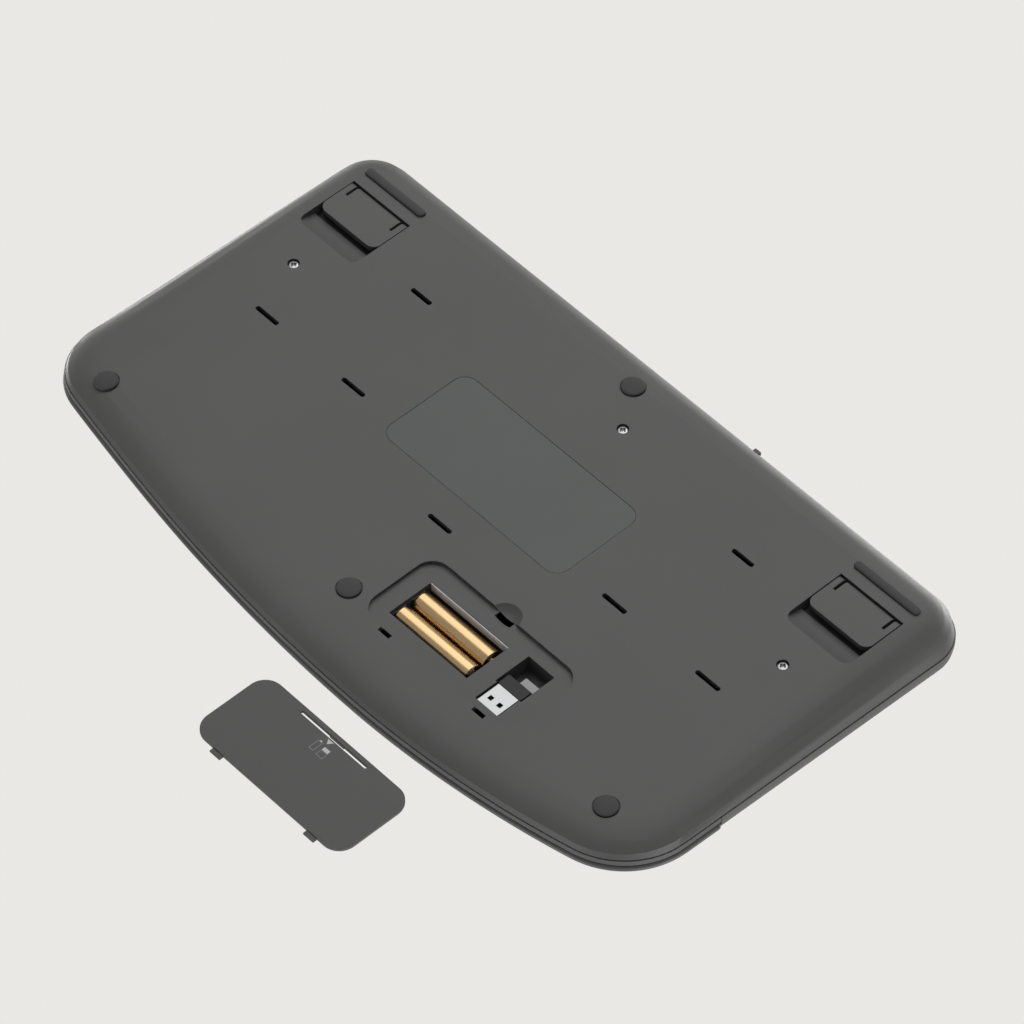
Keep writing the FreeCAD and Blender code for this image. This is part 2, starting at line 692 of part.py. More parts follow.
def belly(extra, low, over, count):
    """Solid under the seam plane: flat below, with a quarter-ellipse curve of count rings up to the rim."""
    rings = []
    for i in range(count):
        phi = math.pi / 2.0 * i / (count - 1)
        rise = 1.0 - math.cos(phi)
        inset = RIM_STEP + BELLY_CURVE * (1.0 - math.sin(phi)) + extra
        rings.append(lean(outline(inset), rise * SEAM_SLOPE, low + rise * (SEAM_HEIGHT + over - low)))
    return Part.makeLoft(rings, True, True)


def seat_box(grow, depth):
    """Shallow seat of the battery cover, cut from the underside."""
    return rounded_box(SEAT_X0 - grow, SEAT_Y0 - grow, FOOT_HEIGHT - BELOW, SEAT_X1 + grow, SEAT_Y1 + grow,
                       FOOT_HEIGHT + depth, SEAT_CORNER + grow)


def cell_axis_z():
    """Height of the cells' axes."""
    return FOOT_HEIGHT + CELL_RISE + CELL_R


def cell_rows():
    """Depth of each cell's axis, back cell first."""
    back = WELL_Y1 - CELL_BACK_GAP - CELL_R
    return back, back - CELL_PITCH


def well_box(grow):
    """Battery well: its hollow (grow 0) or the hollow with its walls."""
    top = cell_axis_z() + CELL_R + CELL_HEADROOM
    low = FOOT_HEIGHT - BELOW
    return box(WELL_X0 - grow, WELL_Y0 - grow, low, WELL_X1 + grow, WELL_Y1 + grow, top + grow)


def bay_boxes(grow):
    """Receiver bay: a wide zone for the body and a fingertip, and a narrower one for the plug."""
    low, high = FOOT_HEIGHT - BELOW, FOOT_HEIGHT + BAY_DEPTH + grow
    wide = box(BAY_X0 - grow, BAY_Y0 - grow, low, BAY_X1 + grow, BAY_Y1 + grow, high)
    narrow = box(PLUG_BAY_X0 - grow, PLUG_BAY_Y0 - grow, low, PLUG_BAY_X1 + grow, BAY_Y0 + grow + 1, high)
    return wide.fuse(narrow)


def leg_pivot_z():
    """Height of the leg's pivot."""
    return FOOT_HEIGHT + LEG_BARREL_R


def leg_pins(clearance):
    """Round pins on both sides of the right-hand leg, or their holes."""
    x0 = LEG_X0 - LEG_PIN_LENGTH - clearance
    x1 = LEG_X1 + LEG_PIN_LENGTH + clearance
    return rod(x0, LEG_PIVOT_Y, leg_pivot_z(), LEG_PIN_R + clearance, x1 - x0, V(1, 0, 0))


def leg_pocket():
    """Right-hand leg recess: a deep pocket over the leg and a scooped finger ramp before it."""
    low = FOOT_HEIGHT - BELOW
    high = FOOT_HEIGHT + POCKET_DEPTH
    ramp_end = RAMP_BACK + 1
    run = ramp_end - LEG_Y0
    start = V(LEG_X0, LEG_Y0, FOOT_HEIGHT)
    middle = V(LEG_X0, LEG_Y0 + run * 0.5, FOOT_HEIGHT + RAMP_DEPTH * RAMP_BELLY)
    end = V(LEG_X0, ramp_end, FOOT_HEIGHT + RAMP_DEPTH)
    corners = [end, V(LEG_X0, ramp_end, low), V(LEG_X0, LEG_Y0, low), start]
    edges = [Part.Arc(start, middle, end).toShape()]
    edges += [Part.LineSegment(corners[i], corners[i + 1]).toShape() for i in range(3)]
    ramp = Part.Face(Part.Wire(edges)).extrude(V(LEG_X1 - LEG_X0, 0, 0))
    rim = rounded_box(LEG_X0, LEG_Y0, low, LEG_X1, LEG_Y1, high, LEG_CORNER)
    return box(LEG_X0, RAMP_BACK, low, LEG_X1, LEG_Y1, high).fuse(ramp.common(rim))


def leg_block():
    """Thick wall round the right-hand leg recess, which holds the pin holes."""
    side = LEG_PIN_LENGTH + LEG_PIN_WALL
    return box(LEG_X0 - side, LEG_Y0 - BOX_WALL, FOOT_HEIGHT, LEG_X1 + side, LEG_Y1 + BOX_WALL,
               FOOT_HEIGHT + POCKET_DEPTH + BOX_WALL)


def below_plate():
    """Everything under the steel plate, as a block on the deck."""
    low = plate_top() - PLATE_THICK
    return on_deck(box(-HALF_WIDTH, -HALF_DEPTH, low - 3 * SEAM_HEIGHT, HALF_WIDTH, HALF_DEPTH, low))


def case_blocks():
    """What stands up inside the bottom case: seat, wells, leg blocks, screw posts and board posts."""
    blocks = [seat_box(BOX_WALL, SEAT_DEPTH + BOX_WALL), well_box(BOX_WALL), bay_boxes(BOX_WALL)]
    blocks += [leg_block(), mirrored(leg_block())]
    posts = [upright(x, y, FOOT_HEIGHT, 3 * SEAM_HEIGHT, POST) for x, y in SCREWS]
    blocks += [post.common(below_plate()) for post in posts]
    for x in (BOARD_X0 + BOARD_POST_IN, BOARD_X1 - BOARD_POST_IN):
        for y in (BOARD_Y0 + BOARD_POST_IN, BOARD_Y1 - BOARD_POST_IN):
            blocks.append(upright(x, y, FOOT_HEIGHT, BOARD_HEIGHT, BOARD_POST))
    above = box(-HALF_WIDTH, -HALF_DEPTH, FOOT_HEIGHT + FLOOR / 2, HALF_WIDTH, HALF_DEPTH, 3 * SEAM_HEIGHT)
    return [block.common(above) for block in blocks]


def case_cuts():
    """Every recess and hole of the bottom case."""
    low = FOOT_HEIGHT - BELOW
    seat_floor = FOOT_HEIGHT + SEAT_DEPTH
    pocket, pins = leg_pocket(), leg_pins(LEG_PIN_CLEARANCE)
    cuts = [seat_box(0.0, SEAT_DEPTH), well_box(0.0), bay_boxes(0.0)]
    cuts += [pocket, mirrored(pocket), pins, mirrored(pins)]
    scoop_z = FOOT_HEIGHT + SCOOP_DEPTH - SCOOP_R
    cuts.append(Part.makeSphere(SCOOP_R, V(LATCH_X, SEAT_Y1 - SCOOP_IN, scoop_z)))
    latch = LATCH_WIDTH / 2 + TAB_CLEARANCE
    cuts.append(box(LATCH_X - latch, SEAT_Y1 - LATCH_HOLE, low, LATCH_X + latch, SEAT_Y1 + LATCH_CATCH,
                    seat_floor + BOX_WALL + 1))
    tab = TAB_WIDTH / 2 + TAB_CLEARANCE
    tab_y0 = SEAT_Y0 - TAB_REACH - TAB_CLEARANCE
    tab_low = FOOT_HEIGHT + TAB_SINK - TAB_CLEARANCE
    tab_high = seat_floor + TAB_CLEARANCE
    cuts += [box(x - tab, tab_y0, tab_low, x + tab, SEAT_Y0 + TAB_SLOT_IN, tab_high) for x in TAB_X]
    cuts += [narrow_slot(x, y, low, length, DRAIN_WIDTH, BELOW + FLOOR + 1) for x, y, length in DRAINS]
    for x, y in SCREWS:
        cuts.append(rod(x, y, low, COUNTERBORE_R, BELOW + SCREW_SINK + SCREW_HEAD))
        cuts.append(shank(x, y, low, SCREW_SHANK_R + SCREW_PLAY, 3 * SEAM_HEIGHT))
    cuts += [rod(x, y, low, FOOT_R + FOOT_GROOVE, BELOW + FOOT_SINK) for x, y in FEET]
    strip = round_slot((STRIP_X0 + STRIP_X1) / 2, STRIP_Y, low, STRIP_X1 - STRIP_X0 + 2 * FOOT_GROOVE,
                       STRIP_WIDTH / 2 + FOOT_GROOVE, BELOW + FOOT_SINK)
    cuts += [strip, mirrored(strip)]
    cuts.append(rounded_box(-LABEL_HALF_X, LABEL_Y0, low, LABEL_HALF_X, LABEL_Y1, FOOT_HEIGHT + LABEL_DEPTH,
                            LABEL_CORNER))
    reach = (NUB_WIDTH + SWITCH_TRAVEL) / 2 + NUB_CLEARANCE
    tall = NUB_HEIGHT / 2 + NUB_CLEARANCE
    cuts.append(box(SWITCH_X - reach, BOARD_Y1 + 1, SWITCH_Z - tall, SWITCH_X + reach, HALF_DEPTH + 1,
                    SWITCH_Z + tall))
    return cuts


def bottom_case():
    """Moulded tray with the wells, pockets, posts and holes of the underside."""
    outer = belly(0.0, FOOT_HEIGHT, 0.0, BELLY_RINGS)
    tray = outer.cut(belly(WALL, FOOT_HEIGHT + FLOOR, 1.0, BELLY_INNER_RINGS))
    NODES["bottom_case"] = tray.fuse(case_blocks()).cut(case_cuts())


def lip(outset, top):
    """Narrow vertical lip over the parting line, with the spigot that stands on the bottom case."""
    spigot = slab(0.0, PARTING_GAP + 0.1, RIM_STEP + SPIGOT_STEP)
    return slab(PARTING_GAP, top, -outset).fuse(spigot)


def wavy_block(over):
    """Everything above the deck, its lower face following the wave; over lifts it."""
    y0 = -HALF_DEPTH - PAST
    x0, x1 = -HALF_WIDTH - PAST, HALF_WIDTH + PAST
    top = over + 4 * PAST
    points = [V(WAVE_X + WAVE_REACH * t, y0, over + wave(WAVE_X + WAVE_REACH * t)) for t in WAVE_STEPS]
    rise = Part.BSplineCurve()
    rise.interpolate(Points=points, InitialTangent=V(1, 0, 0), FinalTangent=V(1, 0, 0))
    corners = [points[-1], V(x1, y0, over), V(x1, y0, top), V(x0, y0, top), V(x0, y0, over), points[0]]
    edges = [rise.toShape()] + [Part.LineSegment(corners[i], corners[i + 1]).toShape() for i in range(5)]
    return Part.Face(Part.Wire(edges)).extrude(V(0, 2 * (HALF_DEPTH + PAST), 0))


def top_case():
    """Upper shell: lip, shoulder that rolls inwards, a wavy deck and the key opening."""
    rings = []
    for i in range(SHOULDER_RINGS):
        phi = SHOULDER_TURN * i / (SHOULDER_RINGS - 1)
        inset = SHOULDER_REACH * (1 - math.cos(phi))
        rings.append(at_seam(outline(inset), LIP_HEIGHT + SHOULDER_HEIGHT * math.sin(phi)))
    shell = lip(0.0, LIP_HEIGHT).fuse(Part.makeLoft(rings, True, True))
    x0, y0, x1, y1 = key_area()
    gap = OPENING_CLEARANCE
    hollow = slab(-1.0, DECK_HEIGHT - ROOF, WALL + RIM_STEP)
    hole = rounded_box(x0 - gap, y0 - gap, -1.0, x1 + gap, y1 + gap, 4 * DECK_HEIGHT, OPENING_CORNER)
    opening = on_deck(hole)
    wide = HALF_WIDTH + PAST
    front = box(-wide, -HALF_DEPTH - PAST, -1, wide, PALM_BACK + PALM_GAP, 5 * SEAM_HEIGHT)
    NODES["top_case"] = shell.cut([on_deck(wavy_block(DECK_HEIGHT)), hollow, opening, front])


def palm_ring(inset, back_inset, height):
    """Ring of the palm rest: the case outline in front, and a straight back edge near the keys."""
    return at_seam(outline(inset, PALM_BACK, back_inset, CUSHION_BACK_CORNER + inset), height)


def palm_rest():
    """Carrier with the lip under the cushion, and the crowned cushion on it."""
    wide = HALF_WIDTH + PAST
    behind = box(-wide, PALM_BACK, -1, wide, HALF_DEPTH + PAST, 5 * SEAM_HEIGHT)
    skin = CARRIER_SKIN
    wall = WALL + RIM_STEP
    top_in = CARRIER_INSET + skin
    hump = Part.makeLoft([palm_ring(CARRIER_STEP, CARRIER_BACK, LIP_HEIGHT),
                          palm_ring(CARRIER_INSET, CARRIER_INSET, CARRIER_TOP)], True, True)
    inside = Part.makeLoft([palm_ring(wall, CARRIER_BACK + skin, -1.0),
                            palm_ring(wall, CARRIER_BACK + skin, LIP_HEIGHT - skin),
                            palm_ring(top_in, top_in, CARRIER_TOP - skin)], True, True)
    tower = well_box(BOX_WALL + PALM_GAP)
    bay = bay_boxes(BOX_WALL + PALM_GAP)
    carrier = lip(0.0, LIP_HEIGHT).cut(behind).fuse(hump).cut([inside, tower, bay])
    NODES["palm_rest_carrier"] = carrier
    rings = [palm_ring(CUSHION_TUCK, CUSHION_TUCK, CUSHION_LOW)]
    for i in range(CUSHION_RINGS):
        phi = CUSHION_TURN * i / (CUSHION_RINGS - 1)
        draw = 1 - math.cos(phi)
        rings.append(palm_ring(CUSHION_REACH * draw - CUSHION_BULGE, CUSHION_BACK_REACH * draw,
                               CUSHION_WIDEST + CUSHION_RISE * math.sin(phi)))
    NODES["palm_rest_cushion"] = Part.makeLoft(rings, True, True).cut([hump, tower])


def battery_cover():
    """Cover with its springy latch strip, lying on the desk in front of the keyboard."""
    c = COVER_CLEARANCE
    x0, x1 = SEAT_X0 + c, SEAT_X1 - c
    y0, y1 = SEAT_Y0 + c, SEAT_Y1 - c
    top = COVER_THICK
    plate = rounded_box(x0, y0, 0, x1, y1, top, SEAT_CORNER - c)
    half, tab_top = TAB_WIDTH / 2, TAB_SINK + TAB_THICK
    parts = [box(x - half, y0 - TAB_REACH, TAB_SINK, x + half, y0 + TAB_ROOT, tab_top) for x in TAB_X]
    barb = [(y1 - HOOK_THICK, top - JOIN), (y1, top - JOIN), (y1, top + HOOK_LOW),
            (y1 + HOOK_BARB, top + HOOK_WIDEST), (y1 - HOOK_TIP, top + HOOK_HEIGHT),
            (y1 - HOOK_THICK, top + HOOK_HEIGHT)]
    parts.append(profile_x(barb, LATCH_X - LATCH_WIDTH / 2, LATCH_X + LATCH_WIDTH / 2))
    for x in (x0 + RIB_IN, x1 - RIB_IN):
        parts.append(box(x - RIB / 2, y0 + RIB_IN / 2, top - JOIN, x + RIB / 2, y1 - RIB_IN / 2, top + RIB))
    slot = narrow_slot(LATCH_X, y1 - SLOT_BACK - SLOT_WIDTH / 2, -BELOW, SLOT_LENGTH, SLOT_WIDTH,
                       top + HOOK_HEIGHT + 2 * BELOW)
    cover = plate.fuse(parts).cut(slot)
    cover.translate(V(COVER_SHIFT_X, COVER_SHIFT_Y, 0))
    NODES["battery_cover"] = cover


def cell(y, side):
    """One dry cell with its plus nub at the +X end (side 1) or the -X end (side -1)."""
    z = cell_axis_z()
    x0 = CELL_X1 - CELL_LENGTH
    nub_x = CELL_X1 if side > 0 else x0
    nub = rod(nub_x, y, z, CELL_NUB_R, CELL_NUB, V(side, 0, 0))
    return rod(x0, y, z, CELL_R, CELL_LENGTH, V(1, 0, 0)).fuse(nub)


def contact_square(x, y, half):
    """Corners of a square that faces along X, on the axis of a cell."""
    z = cell_axis_z()
    low, high = z - half, z + half
    return [V(x, y - half, low), V(x, y + half, low), V(x, y + half, high), V(x, y - half, high)]


def contact(wall_x, tip_x, y):
    """Sheet contact on a wall of the well, bowed out to touch the end of a cell."""
    side = 1 if tip_x > wall_x else -1
    face_x = wall_x + side * CONTACT_THICK
    plate = flat_sided(contact_square(wall_x, y, CONTACT_HALF), contact_square(face_x, y, CONTACT_HALF))
    if abs(tip_x - face_x) < CONTACT_LEAST_BOW:
        return plate
    foot = contact_square(face_x, y, CONTACT_HALF - CONTACT_EDGE)
    bow = flat_sided(foot, contact_square(tip_x, y, CONTACT_TIP))
    return plate.fuse(bow)


def batteries():
    """Two cells side by side, head to tail, their end contacts and the long strip behind them."""
    back, front = cell_rows()
    contacts = []
    for name, y, side in (("battery_back", back, -1), ("battery_front", front, 1)):
        NODES[name] = cell(y, side)
        low_end = CELL_X1 - CELL_LENGTH - (CELL_NUB if side < 0 else 0)
        high_end = CELL_X1 + (CELL_NUB if side > 0 else 0)
        contacts.append(contact(WELL_X0, low_end - CONTACT_GAP, y))
        contacts.append(contact(WELL_X1, high_end + CONTACT_GAP, y))
    NODES["battery_contacts"] = Part.makeCompound(contacts)
    low = FOOT_HEIGHT + STRIP_LOW
    NODES["contact_strip"] = box(WELL_X0, WELL_Y1 - STRIP_THICK, low, WELL_X1, WELL_Y1, low + STRIP_HEIGHT)


def receiver():
    """Radio receiver in its bay: metal plug shell with two windows, moulded body, and the stop behind."""
    x = (PLUG_BAY_X0 + PLUG_BAY_X1) / 2
    low = FOOT_HEIGHT + PLUG_DEPTH
    high = low + PLUG_THICK
    y1 = BAY_Y0 + PLUG_TUCK
    y0 = y1 - PLUG_LENGTH
    half = PLUG_WIDTH / 2
    wall, deep = PLUG_WALL, half - TONGUE_IN
    tongue_y0 = y0 + TONGUE_BACK
    plug = box(x - half, y0, low, x + half, y1, high)
    plug = plug.cut(box(x - half + wall, y0 - 1, low + wall, x + half - wall, y1 - PLUG_ROOT, high - wall))
    plug = plug.fuse(box(x - deep, tongue_y0, low + TONGUE_LOW, x + deep, y1 - TONGUE_ROOT, high - wall))
    for wx in (x - WINDOW_OUT, x + WINDOW_OUT):
        plug = plug.cut(box(wx - WINDOW_SIDE / 2, y0 + WINDOW_BACK, low - 1, wx + WINDOW_SIDE / 2,
                            y0 + WINDOW_BACK + WINDOW_SIDE, low + TONGUE_LOW / 2))
    NODES["receiver_plug"] = plug
    mid = (low + high) / 2
    half, thick = RECEIVER_WIDTH / 2, RECEIVER_THICK / 2
    y2 = y1 + RECEIVER_LENGTH
    NODES["receiver_body"] = rounded_box(x - half, y1, mid - thick, x + half, y2, mid + thick,
                                         RECEIVER_CORNER)
    stop_x, stop_y = BAY_X0 + STOP_WIDTH, y2 + STOP_GAP
    NODES["receiver_stop"] = box(BAY_X0, stop_y, FOOT_HEIGHT + STOP_LOW, stop_x, stop_y + STOP_DEPTH,
                                 FOOT_HEIGHT + BAY_DEPTH)


def tilt_legs():
    """Flip-out legs: a plate with a round hinge barrel, two springy ears and side pins."""
    x0, x1 = LEG_X0 + LEG_SIDE_GAP, LEG_X1 - LEG_SIDE_GAP
    z0 = FOOT_HEIGHT
    z1 = FOOT_HEIGHT + LEG_THICK
    plate = rounded_box(x0, LEG_FRONT, z0, x1, LEG_PIVOT_Y + LEG_Y1 - LEG_FRONT, z1, LEG_CORNER)
    plate = plate.common(box(x0, LEG_FRONT - 1, z0, x1, LEG_PIVOT_Y, z1))
    barrel = rod(x0, LEG_PIVOT_Y, leg_pivot_z(), LEG_BARREL_R, x1 - x0, V(1, 0, 0))
    leg = plate.fuse([barrel, leg_pins(0.0)])
    for x in (x0 + LEG_SLOT_IN, x1 - LEG_SLOT_IN):
        leg = leg.cut(box(x - LEG_SLOT_WIDTH / 2, LEG_PIVOT_Y - LEG_SLOT_LENGTH + LEG_BARREL_R, z0 - 1,
                          x + LEG_SLOT_WIDTH / 2, LEG_Y1, z1 + POCKET_DEPTH))
    leg = leg.removeSplitter()
    NODES["tilt_leg_right"] = leg
    NODES["tilt_leg_left"] = mirrored(leg)


def feet_and_fasteners():
    """Rubber feet and strips, the screws and the bare label plate."""
    feet = []
    for x, y in FEET:
        foot = rod(x, y, 0, FOOT_R, FOOT_HEIGHT + FOOT_SINK)
        rim = [edge for edge in foot.Edges if edge.BoundBox.ZMax < 0.01]
        feet.append(foot.makeChamfer(FOOT_CHAMFER, rim))
    NODES["round_feet"] = Part.makeCompound(feet)
    strip = round_slot((STRIP_X0 + STRIP_X1) / 2, STRIP_Y, 0, STRIP_X1 - STRIP_X0, STRIP_WIDTH / 2,
                       FOOT_HEIGHT + FOOT_SINK)
    NODES["foot_strips"] = Part.makeCompound([strip, mirrored(strip)])
    screws = []
    for x, y in SCREWS:
        z = FOOT_HEIGHT + SCREW_SINK
        drive = upright(x, y, z - 1, z + SCREW_DRIVE, SCREW_SOCKET)
        head = rod(x, y, z, SCREW_HEAD_R, SCREW_HEAD).cut(drive)
        top = seam(y) + SCREW_GRIP - SCREW_PLAY
        screws.append(head.fuse(shank(x, y, z + SCREW_HEAD, SCREW_SHANK_R, top - z - SCREW_HEAD)))
    NODES["screws"] = Part.makeCompound(screws)
    gap = LABEL_GAP
    half = LABEL_HALF_X - gap
    low, high = FOOT_HEIGHT + LABEL_SINK, FOOT_HEIGHT + LABEL_DEPTH
    NODES["label_plate"] = rounded_box(-half, LABEL_Y0 + gap, low, half, LABEL_Y1 - gap, high,
                                       LABEL_CORNER - gap)


def switch_wall_inset():
    """How far the case's back wall stands in from its edge at the height of the switch."""
    rise = (SWITCH_Z - FOOT_HEIGHT) / (seam(HALF_DEPTH) - FOOT_HEIGHT)
    return RIM_STEP + BELLY_CURVE * (1.0 - math.sqrt(1.0 - (1.0 - rise) ** 2))


def electronics():
    """Circuit board on its posts, its radio shield, the switch body and the slider on the back edge."""
    board = box(BOARD_X0, BOARD_Y0, BOARD_HEIGHT, BOARD_X1, BOARD_Y1, BOARD_HEIGHT + BOARD_THICK)
    NODES["circuit_board"] = board
    top = BOARD_HEIGHT + BOARD_THICK
    x0, y0 = BOARD_X0 + SHIELD_IN_X, BOARD_Y0 + SHIELD_IN_Y
    NODES["radio_shield"] = box(x0, y0, top, x0 + SHIELD_WIDTH, y0 + SHIELD_LENGTH, top + SHIELD_HEIGHT)
    width, depth, height = SWITCH_BODY
    half = width / 2
    stalk = STALK / 2
    body = box(SWITCH_X - half, BOARD_Y1 - depth, top, SWITCH_X + half, BOARD_Y1, top + height)
    reach = stalk + SWITCH_TRAVEL / 2 + NUB_CLEARANCE
    groove = stalk + STALK_PLAY
    groove_y0 = BOARD_Y1 - STALK_SINK - STALK_PLAY
    slit = box(SWITCH_X - reach, groove_y0, SWITCH_Z - groove,
               SWITCH_X + reach, BOARD_Y1 + 1, SWITCH_Z + groove)
    NODES["switch_body"] = body.cut(slit)
    nub_x = SWITCH_X - SWITCH_TRAVEL / 2
    tip = HALF_DEPTH - switch_wall_inset() + NUB_PROUD
    shaft = box(nub_x - stalk, BOARD_Y1 - STALK_SINK, SWITCH_Z - stalk, nub_x + stalk, tip - STALK_TUCK,
                SWITCH_Z + stalk)
    nub = box(nub_x - NUB_WIDTH / 2, tip - NUB_DEPTH, SWITCH_Z - NUB_HEIGHT / 2, nub_x + NUB_WIDTH / 2, tip,
              SWITCH_Z + NUB_HEIGHT / 2)
    NODES["switch_slider"] = shaft.fuse(nub)


bottom_case()
top_case()
palm_rest()
key_frame()
layers_under_keys()
keycaps()
battery_cover()
batteries()
receiver()
tilt_legs()
feet_and_fasteners()
electronics()

cover_front = SEAT_Y0 + COVER_CLEARANCE - TAB_REACH + COVER_SHIFT_Y
case_back = HALF_DEPTH
to_middle = V(0, -(cover_front + case_back) / 2, 0)
os.makedirs("parts", exist_ok=True)
for node, shape in NODES.items():
    shape.translate(to_middle)
    shape.exportStep("parts/" + node + ".step")
    size = shape.BoundBox
    print("%-22s solids %3d volume %9.1f valid %s z %.2f to %.2f" % (
        node, len(shape.Solids), shape.Volume, shape.isValid(), size.ZMin, size.ZMax))
print(len(NODES), "nodes, moved back by", round(to_middle.y, 3))
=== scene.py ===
# %% [markdown]
# # An ergonomic keyboard, seen from below
# The keyboard stands on its feet on a pale desk, keys up, and its battery cover lies in front of
# it. The camera looks up at the underside, as a person does who has turned it over to change the
# cells. The construction model gives every piece its place, and this lesson gives it its looks.

# %% The frame and its box
import bmesh
import bpy
import json
import math
import numpy as np
from mathutils import Matrix, Vector

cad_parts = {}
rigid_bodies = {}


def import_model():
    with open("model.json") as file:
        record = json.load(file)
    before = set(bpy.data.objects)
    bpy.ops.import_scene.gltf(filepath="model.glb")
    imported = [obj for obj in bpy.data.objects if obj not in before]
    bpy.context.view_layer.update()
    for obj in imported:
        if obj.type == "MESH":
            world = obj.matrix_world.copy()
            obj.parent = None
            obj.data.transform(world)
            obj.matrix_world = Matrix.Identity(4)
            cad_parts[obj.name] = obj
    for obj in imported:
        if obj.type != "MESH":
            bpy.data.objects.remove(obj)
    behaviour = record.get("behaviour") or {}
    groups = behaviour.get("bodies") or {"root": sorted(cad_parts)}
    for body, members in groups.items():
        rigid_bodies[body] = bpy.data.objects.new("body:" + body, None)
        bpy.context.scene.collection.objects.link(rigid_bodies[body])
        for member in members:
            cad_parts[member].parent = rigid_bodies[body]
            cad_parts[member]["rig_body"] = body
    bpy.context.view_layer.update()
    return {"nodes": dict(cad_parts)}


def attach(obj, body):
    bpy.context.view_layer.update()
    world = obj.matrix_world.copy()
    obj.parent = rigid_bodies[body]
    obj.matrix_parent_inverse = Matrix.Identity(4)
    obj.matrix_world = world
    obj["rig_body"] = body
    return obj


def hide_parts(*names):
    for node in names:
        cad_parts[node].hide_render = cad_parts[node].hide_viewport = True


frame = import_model()

# %% [markdown]
# ## The camera
# The direction of the long edges and the size of the round feet in the picture give the view: a
# long lens, about 2.7 metres away and below the desk. The axes to the right and ahead are written
# down as they were measured, and the third is square to both. A matrix turns them into Blender's
# camera, which looks along its -Z.

# %% Camera
CAMERA_AT = (-1.32909, -1.144965, -2.10917)
VIEW_RIGHT = np.array((-0.67691, 0.73601, 0.00945))
VIEW_AHEAD = np.array((0.47717, 0.42901, 0.76698))
SENSOR_MM = 36.0
LENS_MM = 230.19
NEAR, FAR = 0.1, 30.0

view_up = np.cross(VIEW_RIGHT, VIEW_AHEAD)
turn = Matrix([VIEW_RIGHT, view_up, -VIEW_AHEAD]).transposed().to_4x4()
camera_data = bpy.data.cameras.new("camera")
camera_data.lens = LENS_MM
camera_data.sensor_width = SENSOR_MM
camera_data.clip_start = NEAR
camera_data.clip_end = FAR
camera = bpy.data.objects.new("camera", camera_data)
camera.matrix_world = Matrix.Translation(CAMERA_AT) @ turn
bpy.context.scene.collection.objects.link(camera)
bpy.context.scene.camera = camera
bpy.context.scene.view_settings.view_transform = "Standard"
print("camera looks along", VIEW_AHEAD)

# %% [markdown]
# ## Colours and shader nodes
# Colours are written as on a screen, in hex, and a shader needs them linear. One small function
# adds a node with its settings and its links, so that each material reads like a recipe.

# %% Helpers for materials
MM = 0.001


def linear(hex_colour):
    """Screen colour to linear: v/12.92 below 0.04045, and ((v + 0.055)/1.055)^2.4 above."""
    v = np.array([int(hex_colour[i:i + 2], 16) for i in (1, 3, 5)]) / 255.0
    out = np.where(v <= 0.04045, v / 12.92, ((v + 0.055) / 1.055) ** 2.4)
    return (*out.tolist(), 1.0)


def add(tree, kind, settings, inputs):
    """Add a node. An input is a constant, or the output socket of another node to link."""
    node = tree.nodes.new("ShaderNode" + kind)
    for name, value in settings.items():
        setattr(node, name, value)
    for name, value in inputs.items():
        if isinstance(value, bpy.types.NodeSocket):
            tree.links.new(value, node.inputs[name])
        else:
            node.inputs[name].default_value = value
    return node


def blank_material(name):
    """An empty node material and its tree."""
    material = bpy.data.materials.new(name)
    material.use_nodes = True
    material.node_tree.nodes.clear()
    return material, material.node_tree


def ramp(tree, factor, stops):
    """A colour ramp: stops are (position, hex colour) from low to high."""
    node = add(tree, "ValToRGB", {}, {"Fac": factor})
    elements = node.color_ramp.elements
    while len(elements) < len(stops):
        elements.new(0.5)
    for element, (place, colour) in zip(elements, stops):
        element.position = place
        element.color = linear(colour)
    return node.outputs["Color"]


def surface(tree, shader):
    """End a material's tree with its surface."""
    add(tree, "OutputMaterial", {}, {"Surface": shader})

# %% [markdown]
# ## Moulded plastic
# Case, keys and cover are ABS, moulded in steel whose face was spark eroded, so the plastic has a
# fine matt grain and no shine of its own. The real grain is a tenth of a millimetre, too fine to
# show from here, so it is drawn four times as coarse and very shallow. A slow change of shade
# over some centimetres keeps large faces from looking like paper.


# %% A recipe for moulded plastic
CLOUD_MM, CLOUD_SHARE, GRAIN_SHARE = 70, 0.65, 0.35
TONE_LOW, TONE_HIGH = 0.3, 0.7
PLASTIC_SPREAD = 0.05


